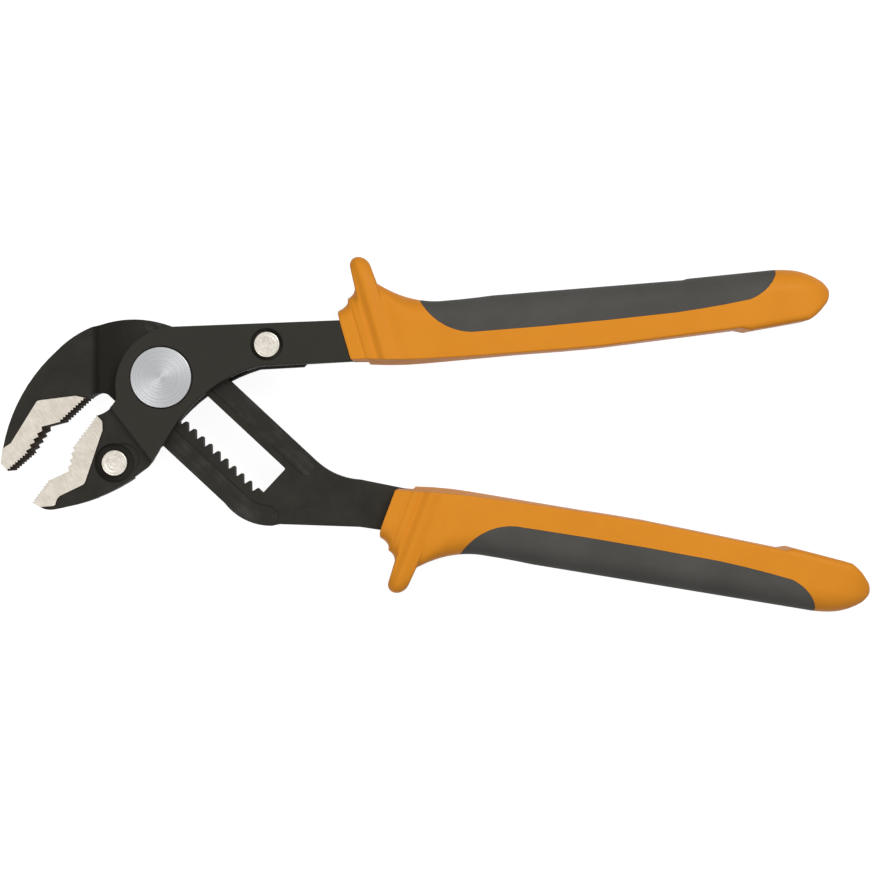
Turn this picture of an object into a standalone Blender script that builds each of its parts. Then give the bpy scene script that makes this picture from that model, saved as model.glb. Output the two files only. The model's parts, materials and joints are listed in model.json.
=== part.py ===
# Adjustable pipe pliers with a ratchet slot, in metres, +Z up.
# The tool lies flat. X runs from the jaws to the handles and Z is the pivot axis.
# The origin is on that axis, on the outer face of the rear pivot disc.

import math

import bmesh
import bpy
from mathutils import Matrix, Vector

# Layers through the head, counted outwards from the mid-plane
RACK_THICKNESS = 0.0050
SIDE_CLEARANCE = 0.0003
CHEEK_THICKNESS = 0.0040
PIVOT_PROUD = 0.0007
JAW_STEP = 0.0018
PAD_RAISE = 0.0005

# Gap between pieces that seat on each other
FIT = 0.0003

# Pivot and the round of the cheeks about it
PIVOT_RADIUS = 0.0087
BORE_CLEARANCE = 0.0002
CHEEK_WALL = 0.0045
CHEEK_TOP_WALL = 0.0058
PLATE_END = 0.0410

# Slotted arm of the rack lever, along the slot and across it
SLOT_ANGLE = -43.0
SLOT_WIDTH = 0.0097
SLOT_REACH = 0.0436
SLOT_CORNER = 0.0005
TOOTHED_RAIL = 0.0096
PLAIN_RAIL = 0.0076
ARM_TOP = 0.0085
TOOTH_PITCH = 0.00314
TOOTH_DEPTH = 0.0018
TOOTH_ROOT = 0.0004
RAMP_ANGLE = 46.0
STEEP_ANGLE = 14.0
TOOTHED_CHANNEL = 0.0059
PLAIN_CHANNEL = 0.0056
CHANNEL_DEPTH = 0.0004

# How far the rack lever turns about the pivot, from rest
OPEN_ANGLE = 35.0
CLOSE_ANGLE = 8.0

# How many teeth the rack lever moves along its slot
SLIDE_STEPS = 12

# Ratchet pawl, its springs and the block that guides it
PAWL_TEETH = 2
PAWL_BODY = 0.0036
PAWL_PLAY = 0.00015
BLOCK_WALL = 0.0018
SPIGOT_RADIUS = 0.0012
SPRING_RADIUS = 0.0008
SPRING_WIRE = 0.00035
SPRING_TURNS = 5
SPRING_SEAT = 0.0015

# Rivets through the main lever and the back plate
RIVET_RADIUS = 0.0025
RIVET_HEAD = 0.0037
RIVET_HEAD_HEIGHT = 0.0012
RIVET_CLEARANCE = 0.00015
SHANK_COUNTERBORE = 0.0046
JAW_COUNTERBORE = 0.0056
SPOT_RADIUS = 0.00445
SPOT_DEPTH = 0.0007
COUNTERBORE_DEPTH = 0.0015
SHANK_RIVET_X = 0.0302
JAW_RIVET_ALONG = 0.0153
JAW_RIVET_INSET = 0.0038

# Jaw teeth
FINE_PITCH = 0.0010
FINE_DEPTH = 0.0005
COARSE_PITCH = 0.00195
COARSE_DEPTH = 0.0008
COARSE_LEAN = 0.25
TOOTH_LAND = 0.00012

# Handles: collar centres, angles from +X, and the shanks that run into them
UPPER_COLLAR = (0.0526, 0.0121)
UPPER_ANGLE = 4.68
LOWER_COLLAR = (0.0651, -0.0390)
LOWER_ANGLE = -8.9
COLLAR_SLANT = 11.6
MAIN_SHANK_OUTER = 0.0044
RACK_SHANK_OUTER = 0.0052
SHANK_INNER = 0.0075
SHANK_BARE = 0.0062
TANG_INNER = 0.0046
TANG_OUTER = 0.0024
TANG_LENGTH = 0.0950

# Grip moulding, along the handle and across it
UPPER_GRIP_LENGTH = 0.1405
LOWER_GRIP_LENGTH = 0.1412
GRIP_DEPTH = 0.0160
GRIP_INNER = 0.0099
GRIP_OUTER = 0.0083
GRIP_EDGE = 0.0006
NOSE_EDGE = 0.0019
GRIP_DRAFT = 0.0010
GRIP_ROUND = 0.0065
COLLAR_INNER = 0.0073
COLLAR_OUTER = 0.0075
COLLAR_DEPTH = 0.0142
BAND_WIDTH = 0.0035
BAND_STEP = 0.0006
GUARD_WIDTH = 0.0056
GUARD_RISE = 0.0227
GUARD_DEPTH = 0.0186
INSERT_START = 0.0222
INSERT_END_MARGIN = 0.0156
INSERT_REACH = 0.0021
INSERT_THICKNESS = 0.0022

# Facets
ARC_STEP = math.radians(4.0)
GRIP_ARC_STEP = math.radians(10.0)
ROUND_SEGMENTS = 56
RIVET_SEGMENTS = 32
PIN_SEGMENTS = 16

# Heights above the mid-plane
RACK_FACE = RACK_THICKNESS / 2
CHEEK_INNER = RACK_FACE + SIDE_CLEARANCE
CHEEK_OUTER = CHEEK_INNER + CHEEK_THICKNESS
PIVOT_FACE = CHEEK_OUTER + PIVOT_PROUD
JAW_FACE = CHEEK_OUTER - JAW_STEP
PAD_FACE = JAW_FACE + PAD_RAISE
PAST = 0.0100
FAR = 0.3000

# Edges of the slotted arm, across the slot
SLOT_HALF = SLOT_WIDTH / 2
ARM_TOOTHED = -SLOT_HALF - TOOTHED_RAIL
ARM_PLAIN = SLOT_HALF + PLAIN_RAIL
RAMP_RUN = TOOTH_DEPTH / math.tan(math.radians(RAMP_ANGLE))
STEEP_RUN = TOOTH_DEPTH * math.tan(math.radians(STEEP_ANGLE))

# Pawl and block, along the slot and across it
PAWL_FRONT = TOOTH_PITCH / 2 - PAWL_PLAY
PAWL_REAR = -(PAWL_TEETH - 1) * TOOTH_PITCH - TOOTH_ROOT / 2 - RAMP_RUN
PAWL_FACE = -SLOT_HALF + PAWL_PLAY
PAWL_BACK = PAWL_FACE + PAWL_BODY
PAWL_TRAVEL = TOOTH_DEPTH + 2 * PAWL_PLAY
POCKET_FLOOR = PAWL_BACK + PAWL_TRAVEL + FIT
BLOCK_HALF = SLOT_HALF - FIT
BLOCK_FRONT = PAWL_FRONT + FIT + BLOCK_WALL
BLOCK_REAR = PAWL_REAR - FIT - BLOCK_WALL
SPRING_BORE = SPRING_RADIUS + SPRING_WIRE / 2 + FIT / 2
SPRING_PLACES = (
    PAWL_REAR + (PAWL_FRONT - PAWL_REAR) / 4,
    PAWL_FRONT - (PAWL_FRONT - PAWL_REAR) / 4,
)

STEEL_BLACK = ("black_steel", (0.038, 0.036, 0.034), 0.55, 0.6)
STEEL_BRIGHT = ("turned_steel", (0.60, 0.61, 0.62), 0.28, 1.0)
STEEL_NICKEL = ("rivet_steel", (0.62, 0.58, 0.52), 0.32, 1.0)
STEEL_SPRING = ("spring_steel", (0.45, 0.45, 0.46), 0.35, 1.0)
PLASTIC_ORANGE = ("orange_plastic", (0.69, 0.27, 0.026), 0.45, 0.0)
PLASTIC_GREY = ("grey_soft_plastic", (0.09, 0.087, 0.082), 0.62, 0.0)

for item in list(bpy.data.objects):
    bpy.data.objects.remove(item, do_unlink=True)

scene_root = bpy.context.scene.collection
pliers = bpy.data.collections.new("pipe_pliers")
cutters = bpy.data.collections.new("cutters")
scene_root.children.link(pliers)
scene_root.children.link(cutters)


def material(finish):
    name, colour, roughness, metallic = finish
    made = bpy.data.materials.get(name)
    if made is None:
        made = bpy.data.materials.new(name)
        made.use_nodes = True
        shader = made.node_tree.nodes["Principled BSDF"]
        shader.inputs["Base Color"].default_value = (*colour, 1.0)
        shader.inputs["Roughness"].default_value = roughness
        shader.inputs["Metallic"].default_value = metallic
    return made


def empty(name, place, angle, parent=None):
    made = bpy.data.objects.new(name, None)
    pliers.objects.link(made)
    made.location = place
    made.rotation_euler.z = math.radians(angle)
    made.parent = parent
    bpy.context.view_layer.update()
    return made


def add_object(name, mesh, frame, finish=None):
    # A piece has a finish. Without one the object is a cutter.
    made = bpy.data.objects.new(name, mesh)
    made.parent = frame
    if finish is None:
        cutters.objects.link(made)
        made.hide_render = True
        made.display_type = "WIRE"
    else:
        pliers.objects.link(made)
        mesh.materials.append(material(finish))
        mesh.shade_smooth()
        mesh.set_sharp_from_angle(angle=math.radians(35.0))
    return made


def close_mesh(mesh):
    shape = bmesh.new()
    shape.from_mesh(mesh)
    bmesh.ops.remove_doubles(shape, verts=shape.verts, dist=1e-6)
    bmesh.ops.recalc_face_normals(shape, faces=shape.faces)
    shape.to_mesh(mesh)
    shape.free()


def arc(start, end, rise, step):
    # Points after start on an arc to end. A positive rise bulges to the right of travel.
    chord = end - start
    half = chord.length / 2
    radius = (half * half + rise * rise) / (2 * abs(rise))
    side = math.copysign(1.0, rise)
    right = Vector((chord.y, -chord.x)).normalized() * side
    centre = start + chord / 2 + right * (abs(rise) - radius)
    sweep = 2 * math.asin(min(1.0, half / radius))
    if abs(rise) > half:
        sweep = 2 * math.pi - sweep
    steps = max(2, math.ceil(sweep / step))
    turn = side * sweep / steps
    spoke = start - centre
    return [centre + Matrix.Rotation(turn * i, 2) @ spoke for i in range(1, steps)] + [end]


def trace(corners, step=ARC_STEP):
    # An outline from corners (x, y), with a third value where an arc leads to the corner.
    points = [Vector(corners[0][:2])]
    for corner in corners[1:]:
        end = Vector(corner[:2])
        if len(corner) == 3:
            points += arc(points[-1], end, corner[2], step)
        else:
            points.append(end)
    return points


def plate(name, outline, bottom, top, frame, finish=None):
    # A flat outline with a thickness, filled as a curve and then made a mesh.
    # The curve is drawn in millimetres, because the fill loses details much smaller than a unit.
    curve = bpy.data.curves.new(name, "CURVE")
    curve.dimensions = "2D"
    curve.fill_mode = "BOTH"
    curve.extrude = (top - bottom) * 500
    spline = curve.splines.new("POLY")
    spline.points.add(len(outline) - 1)
    spline.use_cyclic_u = True
    for point, place in zip(spline.points, outline):
        point.co = (place[0] * 1000, place[1] * 1000, 0.0, 1.0)
    source = bpy.data.objects.new(name, curve)
    scene_root.objects.link(source)
    graph = bpy.context.evaluated_depsgraph_get()
    mesh = bpy.data.meshes.new_from_object(source.evaluated_get(graph))
    bpy.data.objects.remove(source)
    bpy.data.curves.remove(curve)
    mesh.transform(Matrix.Translation((0.0, 0.0, (top + bottom) / 2)) @ Matrix.Scale(0.001, 4))
    close_mesh(mesh)
    mesh.materials.clear()
    return add_object(name, mesh, frame, finish)


def rod(name, place, radius, bottom, top, frame, segments, finish=None):
    shape = bmesh.new()
    bmesh.ops.create_cone(
        shape, cap_ends=True, segments=segments, radius1=radius, radius2=radius, depth=top - bottom
    )
    mesh = bpy.data.meshes.new(name)
    shape.to_mesh(mesh)
    shape.free()
    mesh.transform(Matrix.Translation((place[0], place[1], (top + bottom) / 2)))
    return add_object(name, mesh, frame, finish)


def combine(piece, other, operation):
    step = piece.modifiers.new(f"{operation.lower()} {other.name}", "BOOLEAN")
    step.operation = operation
    step.object = other
    step.solver = "EXACT"


def repeat(shape, count, offset):
    step = shape.modifiers.new("row", "ARRAY")
    step.use_relative_offset = False
    step.use_constant_offset = True
    step.constant_offset_displace = (*offset, 0.0)
    step.count = count
    return shape


def cut(piece, *shapes):
    for shape in shapes:
        combine(piece, shape, "DIFFERENCE")


def join(piece, *shapes):
    for shape in shapes:
        combine(piece, shape, "UNION")


def tooth_row(name, start, end, pitch, depth, frame, lean=0.5):
    # Cutter for a row of V teeth along an edge, to the left of travel from start to end.
    # The lean is where the root lies between two tips.
    start, end = Vector(start), Vector(end)
    run = end - start
    count = max(1, round(run.length / pitch))
    step = run / count
    left = Vector((-run.y, run.x)).normalized()
    land = run.normalized() * TOOTH_LAND / 2
    near = start + land
    far = start + step - land
    notch = [near, near - left * depth, far - left * depth, far, start + step * lean + left * depth]
    return repeat(plate(name, notch, -PAST, PAST, frame), count, step)


def direction(degrees):
    return Vector((math.cos(math.radians(degrees)), math.sin(math.radians(degrees))))


# Frames: the main lever stands still, the rack lever turns and slides on the pivot
head = empty("head", (0.0, 0.0, PIVOT_FACE), 0.0)
rack = empty("rack", (0.0, 0.0, 0.0), SLOT_ANGLE, head)


def to_rack(x, y):
    return Matrix.Rotation(math.radians(-SLOT_ANGLE), 2) @ Vector((x, y))


class Handle:
    # A handle's own axes: along it from the collar, and outwards across it.
    def __init__(self, name, collar, angle, side, length, owner, owner_angle):
        self.name = name
        self.side = side
        self.length = length
        self.turn = Matrix.Rotation(math.radians(angle - owner_angle), 2)
        self.collar = Matrix.Rotation(math.radians(-owner_angle), 2) @ Vector(collar)
        self.frame = empty(f"{name}_handle", (*self.collar, 0.0), angle - owner_angle, owner)

    def at(self, along, out):
        # The place of a point of the handle in the frame of its lever.
        return tuple(self.collar + self.turn @ Vector((along, out * self.side)))

    def at_collar(self, out, back):
        # A point on the slanted end of the collar, moved back from it by a gap.
        return self.at(-out * math.tan(math.radians(COLLAR_SLANT)) - back, out)


upper = Handle("upper", UPPER_COLLAR, UPPER_ANGLE, 1, UPPER_GRIP_LENGTH, head, 0.0)
lower = Handle("lower", LOWER_COLLAR, LOWER_ANGLE, -1, LOWER_GRIP_LENGTH, rack, SLOT_ANGLE)

# The rack lever swings between two stops in the head. Each is the corner of two planes that its
# arm meets when it is fully open and fully closed.
open_way = direction(SLOT_ANGLE - OPEN_ANGLE)
close_way = direction(SLOT_ANGLE + CLOSE_ANGLE)
stop_spread = math.radians((OPEN_ANGLE + CLOSE_ANGLE) / 2)
stop_way = direction(SLOT_ANGLE + 90.0 + (CLOSE_ANGLE - OPEN_ANGLE) / 2)
jaw_stop = stop_way * (ARM_TOOTHED - FIT) / math.cos(stop_spread)
shank_stop = stop_way * (ARM_PLAIN + FIT) / math.cos(stop_spread)
jaw_rivet_place = jaw_stop + open_way * JAW_RIVET_ALONG + Vector((open_way.y, -open_way.x)) * JAW_RIVET_INSET

# Main lever
lower_throat = (-0.0188, -0.0109)
lower_coarse = (-0.0255, -0.0199)
lower_last_tip = (-0.0268, -0.0256)
lower_flat = (-0.0266, -0.0269)
lower_fine = (-0.0327, -0.0297)
lower_tip = (-0.0372, -0.0358)
lower_toe = (-0.0339, -0.0377)
jaw_heel = (-0.0048, -0.0262)
cheek_foot = (0.0006, -0.0195)
shank_root = (0.0275, 0.0033)
cheek_brow = (0.0020, PIVOT_RADIUS + CHEEK_TOP_WALL)
cheek_front = (-PIVOT_RADIUS - CHEEK_WALL, -0.0020)
throat_corner = (-PIVOT_RADIUS - CHEEK_WALL + 0.0003, -0.0063)

head_back = [
    cheek_brow,
    (*cheek_front, 0.0041),
    throat_corner,
    (*lower_throat, -0.0008),
]
head_low = [
    (*jaw_heel, 0.0017),
    (-0.0034, -0.0248, 0.0001),
    (-0.0023, -0.0232, 0.0001),
    (-0.0009, -0.0209),
    (*cheek_foot, -0.0003),
    (*shank_root, -0.0037),
]
lower_jaw_edge = [lower_coarse, lower_last_tip, lower_flat, lower_fine, lower_tip]


def tang_corners(handle, shank_outer):
    # The bare inner edge of the shank, then the tang inside the grip and back to the collar.
    return [
        handle.at(SHANK_BARE - FIT, -SHANK_INNER),
        handle.at(SHANK_BARE - FIT, -TANG_INNER),
        handle.at(TANG_LENGTH, -TANG_INNER),
        handle.at(TANG_LENGTH, TANG_OUTER),
        handle.at_collar(TANG_OUTER, FIT),
        handle.at_collar(shank_outer, FIT),
    ]


main_outline = trace(
    head_back
    + lower_jaw_edge
    + [lower_toe, (-0.0298, -0.0376, 0.0003)]
    + head_low
    + tang_corners(upper, MAIN_SHANK_OUTER)
)
main_lever = plate("main_lever", main_outline, -PAD_FACE, CHEEK_OUTER, head, STEEL_BLACK)

# The edge of the ground pad, from the throat to the toe of the lower jaw
lower_pad_edge = [
    (-0.0200, -0.0096),
    (-0.0176, -0.0119),
    (-0.0170, -0.0136, -0.0002),
    (-0.0170, -0.0152),
    (-0.0217, -0.0292),
    (-0.0231, -0.0310, -0.0003),
    (-0.0291, -0.0339),
    (-0.0305, -0.0365, 0.0003),
    (-0.0310, -0.0368),
    (-0.0347, -0.0371),
]
step_top = Vector((-0.0143, -0.0089))
step_foot = Vector((-0.0034, -0.0232))
step_run = (step_foot - step_top).normalized()
step_high = tuple(step_top - step_run * PAST)
step_low = tuple(step_foot + step_run * PAST)

cut(
    main_lever,
    plate("jaw_front_cut", [step_low, step_high, (-FAR, FAR), (-FAR, -FAR)], PAD_FACE, PAST, head),
    plate(
        "lower_jaw_front_relief",
        trace([step_high] + lower_pad_edge + [(-0.0347, -FAR), step_low]),
        JAW_FACE,
        PAST,
        head,
    ),
)

cut(
    main_lever,
    tooth_row("lower_throat_teeth", lower_throat, lower_coarse, FINE_PITCH, FINE_DEPTH, head),
    tooth_row("lower_coarse_teeth", lower_coarse, lower_last_tip, COARSE_PITCH, COARSE_DEPTH, head),
    tooth_row("lower_tip_teeth", lower_fine, lower_tip, FINE_PITCH, FINE_DEPTH, head),
)

# Room for the swinging arm, open towards the back plate. Below the shank it also clears the bend
# of the rack lever when that is drawn back fully and closed.
bend_top = Vector((SLOT_REACH + 0.0050, ARM_PLAIN))
bend_foot = to_rack(0.0567, -0.0294)
drawn_back = Vector((-SLIDE_STEPS * TOOTH_PITCH, FIT))
closed = Matrix.Rotation(math.radians(SLOT_ANGLE + CLOSE_ANGLE), 2)
bend_room_top = closed @ (bend_top + drawn_back)
bend_room_foot = closed @ (bend_foot + drawn_back)
arm_room = [
    tuple(jaw_stop),
    tuple(jaw_stop + open_way * FAR),
    tuple(bend_room_foot + close_way * FAR),
    tuple(bend_room_foot),
    tuple(bend_room_top),
    tuple(shank_stop),
    tuple(shank_stop - open_way * FAR),
    tuple(jaw_stop - close_way * FAR),
]

# The back plate lies beside the thick part of the lower jaw and follows the head everywhere else
plate_edge = [
    (throat_corner[0] - 0.0016, 0.0),
    (-0.0163, -0.0152),
    (-0.0205, -0.0285),
    (-0.0196, -0.0317),
]
seat_edge = [(x - FIT, y) for x, y in plate_edge]
cut(
    main_lever,
    plate("arm_room_cut", arm_room, -PAST, CHEEK_INNER, head),
    plate(
        "plate_seat_cut",
        [(seat_edge[0][0], FAR)] + seat_edge + [(seat_edge[-1][0], -FAR), (FAR, -FAR), (FAR, FAR)],
        -PAST,
        -RACK_FACE,
        head,
    ),
    plate(
        "lower_jaw_back_relief",
        trace([(FAR, 0.0)] + lower_pad_edge + [(-0.0347, -FAR), (FAR, -FAR)]),
        -PAST,
        -JAW_FACE,
        head,
    ),
    plate(
        "tang_front_cut",
        [
            upper.at_collar(-PAST * 2, FIT + 0.0001),
            upper.at(FAR, -PAST * 2),
            upper.at(FAR, PAST * 2),
            upper.at_collar(PAST * 2, FIT + 0.0001),
        ],
        RACK_FACE,
        PAST,
        head,
    ),
    rod("front_bore", (0.0, 0.0), PIVOT_RADIUS + BORE_CLEARANCE, 0.0, PAST, head, ROUND_SEGMENTS),
)

# Rivets
shank_top_slope = (upper.at_collar(MAIN_SHANK_OUTER, FIT)[1] - cheek_brow[1]) / (
    upper.at_collar(MAIN_SHANK_OUTER, FIT)[0] - cheek_brow[0]
)
shank_rivet_top = cheek_brow[1] + shank_top_slope * (SHANK_RIVET_X - cheek_brow[0])
shank_rivet_place = Vector((SHANK_RIVET_X, (shank_rivet_top + shank_root[1]) / 2))
rivet_rear_floor = -CHEEK_OUTER + COUNTERBORE_DEPTH


def rivet(name, place, front_floor):
    # A rivet with a formed head in the counterbore on each side.
    low_head = rivet_rear_floor - FIT
    high_head = front_floor + FIT
    made = rod(
        name,
        place,
        RIVET_RADIUS,
        low_head - RIVET_HEAD_HEIGHT / 2,
        high_head + RIVET_HEAD_HEIGHT / 2,
        head,
        RIVET_SEGMENTS,
        STEEL_NICKEL,
    )
    high_end = high_head + RIVET_HEAD_HEIGHT
    low_end = low_head - RIVET_HEAD_HEIGHT
    join(
        made,
        rod(f"{name}_front_head", place, RIVET_HEAD, high_head, high_end, head, RIVET_SEGMENTS),
        rod(f"{name}_rear_head", place, RIVET_HEAD, low_end, low_head, head, RIVET_SEGMENTS),
    )
    return made


shank_floor = CHEEK_OUTER - COUNTERBORE_DEPTH
jaw_floor = JAW_FACE - COUNTERBORE_DEPTH
shank_rivet = rivet("shank_rivet", shank_rivet_place, shank_floor)
jaw_rivet = rivet("jaw_rivet", jaw_rivet_place, jaw_floor)
spot_place = jaw_rivet_place + Vector((0.0028, 0.0012))
hole_radius = RIVET_RADIUS + RIVET_CLEARANCE
shank_hole = rod("shank_hole", shank_rivet_place, hole_radius, -PAST, PAST, head, RIVET_SEGMENTS)
jaw_hole = rod("jaw_hole", jaw_rivet_place, hole_radius, -PAST, PAST, head, RIVET_SEGMENTS)
cut(
    main_lever,
    shank_hole,
    jaw_hole,
    rod("shank_counterbore", shank_rivet_place, SHANK_COUNTERBORE, shank_floor, PAST, head, RIVET_SEGMENTS),
    rod("jaw_counterbore", jaw_rivet_place, JAW_COUNTERBORE, jaw_floor, PAST, head, RIVET_SEGMENTS),
    rod("jaw_spot", spot_place, SPOT_RADIUS, JAW_FACE - SPOT_DEPTH, PAST, head, RIVET_SEGMENTS),
)

# Back plate
plate_top = cheek_brow[1] + shank_top_slope * (PLATE_END - cheek_brow[0])
plate_outline = trace(
    head_back[:3]
    + [(-0.0158, -0.0093, -0.0004)]
    + plate_edge[1:]
    + [
        (-0.0172, -0.0328),
        (jaw_heel[0] - 0.0024, jaw_heel[1] - 0.0001, 0.0004),
        (jaw_heel[0] - 0.0008, jaw_heel[1] + 0.0014, 0.0001),
        (-0.0044, -0.0232),
        (-0.0029, -0.0209),
        (cheek_foot[0] - 0.0020, cheek_foot[1] - 0.0001),
        (shank_root[0] - 0.0003, shank_root[1] - 0.0006, -0.0034),
        (PLATE_END - 0.0010, shank_root[1] + 0.0001),
        (PLATE_END, shank_root[1] + 0.0011),
        (PLATE_END, plate_top),
    ]
)
back_plate = plate("back_plate", plate_outline, -CHEEK_OUTER, -CHEEK_INNER, head, STEEL_BLACK)
cut(
    back_plate,
    rod("rear_bore", (0.0, 0.0), PIVOT_RADIUS + BORE_CLEARANCE, -PAST, 0.0, head, ROUND_SEGMENTS),
    shank_hole,
    jaw_hole,
)
for name, place in (("shank_rear_counterbore", shank_rivet_place), ("jaw_rear_counterbore", jaw_rivet_place)):
    cut(back_plate, rod(name, place, SHANK_COUNTERBORE, -PAST, rivet_rear_floor, head, RIVET_SEGMENTS))

# Rack lever, drawn in the frame of its slot
upper_brow = to_rack(-0.0303, 0.0077)
upper_nose = to_rack(-0.0456, -0.0199)
upper_toe = to_rack(-0.0462, -0.0245)
upper_tip = to_rack(-0.0442, -0.0268)
upper_coarse = to_rack(-0.0385, -0.0218)
upper_last_tip = to_rack(-0.0343, -0.0153)
upper_flat = to_rack(-0.0344, -0.0141)
upper_fine = to_rack(-0.0291, -0.0127)
upper_throat = to_rack(-0.0218, -0.0059)

upper_jaw_edge = [tuple(upper_coarse), tuple(upper_last_tip), tuple(upper_flat), tuple(upper_fine)]
rack_outline = trace(
    [
        tuple(bend_foot),
        (*bend_top, -0.0012),
        (-ARM_TOP, ARM_PLAIN),
        (*upper_brow, 0.0050),
        (*upper_nose, 0.0026),
        tuple(upper_toe),
        tuple(upper_tip),
    ]
    + upper_jaw_edge
    + [
        tuple(upper_throat),
        (-ARM_TOP, ARM_TOOTHED, -0.0009),
        (SLOT_REACH - 0.0060, ARM_TOOTHED),
        (*to_rack(0.0313, -0.0427), 0.0018),
        tuple(to_rack(0.0336, -0.0422)),
        tuple(to_rack(0.0567, -0.0430)),
        lower.at_collar(RACK_SHANK_OUTER, FIT),
    ]
    + tang_corners(lower, RACK_SHANK_OUTER)[-2::-1]
)
rack_lever = plate("rack_lever", rack_outline, -PAD_FACE, PAD_FACE, rack, STEEL_BLACK)

upper_pad_edge = [
    tuple(to_rack(-0.0200, -0.0063)),
    tuple(to_rack(-0.0248, -0.0052)),
    tuple(to_rack(-0.0351, -0.0065)),
    (*to_rack(-0.0363, -0.0075), 0.0002),
    tuple(to_rack(-0.0433, -0.0188)),
    tuple(to_rack(-0.0454, -0.0202)),
    tuple(to_rack(-FAR, -0.0202)),
]
shoulder_top = Vector((-PIVOT_RADIUS - CHEEK_WALL - 0.0070, 0.0160))
shoulder_foot = Vector((-PIVOT_RADIUS - CHEEK_WALL - 0.0053, -0.0055))
shoulder_run = (shoulder_foot - shoulder_top).normalized()
arm_area = [
    tuple(to_rack(*(shoulder_top - shoulder_run * PAST))),
    tuple(to_rack(*(shoulder_foot + shoulder_run * FAR))),
    tuple(to_rack(FAR, -FAR)),
    tuple(to_rack(FAR, FAR)),
    tuple(to_rack(shoulder_top.x, FAR)),
]
jaw_area = trace(
    [tuple(to_rack(FAR, -0.0063))] + upper_pad_edge + [tuple(to_rack(-FAR, FAR)), tuple(to_rack(FAR, FAR))]
)


# The slot, and one gap between its teeth: sloping flank, root and steep flank
slot_top = BLOCK_REAR - FIT
slot_outline = trace(
    [
        (slot_top, SLOT_HALF),
        (slot_top, -SLOT_HALF),
        (SLOT_REACH - SLOT_CORNER, -SLOT_HALF),
        (SLOT_REACH, -SLOT_HALF + SLOT_CORNER, 0.293 * SLOT_CORNER),
        (SLOT_REACH, SLOT_HALF - SLOT_CORNER),
        (SLOT_REACH - SLOT_CORNER, SLOT_HALF, 0.293 * SLOT_CORNER),
    ]
)
first_valley = (1 - PAWL_TEETH) * TOOTH_PITCH
valley_count = PAWL_TEETH + math.floor((SLOT_REACH - TOOTH_ROOT - STEEP_RUN) / TOOTH_PITCH)
valley_outline = [
    (first_valley - TOOTH_ROOT / 2 - RAMP_RUN, -SLOT_HALF),
    (first_valley - TOOTH_ROOT / 2, -SLOT_HALF - TOOTH_DEPTH),
    (first_valley + TOOTH_ROOT / 2, -SLOT_HALF - TOOTH_DEPTH),
    (first_valley + TOOTH_ROOT / 2 + STEEP_RUN, -SLOT_HALF),
    (first_valley + TOOTH_ROOT / 2 + STEEP_RUN, 0.0),
    (first_valley - TOOTH_ROOT / 2 - RAMP_RUN, 0.0),
]

plain_line = ARM_PLAIN - PLAIN_CHANNEL
toothed_line = ARM_TOOTHED + TOOTHED_CHANNEL
plain_channel = trace(
    [
        (-0.0120, ARM_PLAIN + PAST),
        (-0.0155, ARM_PLAIN - 0.0030, 0.0010),
        (-0.0125, plain_line, 0.0010),
        (SLOT_REACH + 0.0042, plain_line),
        (SLOT_REACH + 0.0063, plain_line + 0.0021, 0.0007),
        (SLOT_REACH + 0.0050, ARM_PLAIN - 0.0002, 0.0005),
        (SLOT_REACH + 0.0050, ARM_PLAIN + PAST),
    ]
)
toothed_channel = trace(
    [
        (-ARM_TOP / 2, ARM_TOOTHED - PAST),
        (SLOT_REACH + 0.0075, ARM_TOOTHED - PAST),
        (SLOT_REACH + 0.0081, -SLOT_HALF - 0.0053),
        (SLOT_REACH + 0.0086, -SLOT_HALF - 0.0034),
        (SLOT_REACH + 0.0062, -SLOT_HALF - 0.0009, 0.0008),
        (SLOT_REACH + 0.0042, -SLOT_HALF - 0.0011, 0.0002),
        (SLOT_REACH - 0.0013, toothed_line - 0.0001, -0.0003),
        (SLOT_REACH - 0.0060, toothed_line),
        (-ARM_TOP / 2, toothed_line),
    ]
)
cut(
    rack_lever,
    plate("upper_jaw_front_relief", jaw_area, JAW_FACE, PAST, rack),
    plate("upper_jaw_back_relief", jaw_area, -PAST, -JAW_FACE, rack),
    plate("arm_front_cut", arm_area, RACK_FACE, PAST, rack),
    plate("arm_back_cut", arm_area, -PAST, -RACK_FACE, rack),
    plate("slot_cut", slot_outline, -PAST, PAST, rack),
    repeat(plate("slot_teeth_cut", valley_outline, -PAST, PAST, rack), valley_count, (TOOTH_PITCH, 0.0)),
    tooth_row("upper_tip_teeth", upper_tip, upper_coarse, FINE_PITCH, FINE_DEPTH, rack),
    tooth_row(
        "upper_coarse_teeth", upper_coarse, upper_last_tip, COARSE_PITCH, COARSE_DEPTH, rack, COARSE_LEAN
    ),
    tooth_row("upper_throat_teeth", upper_fine, upper_throat, FINE_PITCH, FINE_DEPTH, rack),
)
channel_floor = RACK_FACE - CHANNEL_DEPTH
for name, outline in (("plain_channel", plain_channel), ("toothed_channel", toothed_channel)):
    cut(
        rack_lever,
        plate(f"{name}_front", outline, channel_floor, RACK_FACE + PAD_RAISE, rack),
        plate(f"{name}_back", outline, -RACK_FACE - PAD_RAISE, -channel_floor, rack),
    )

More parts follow.
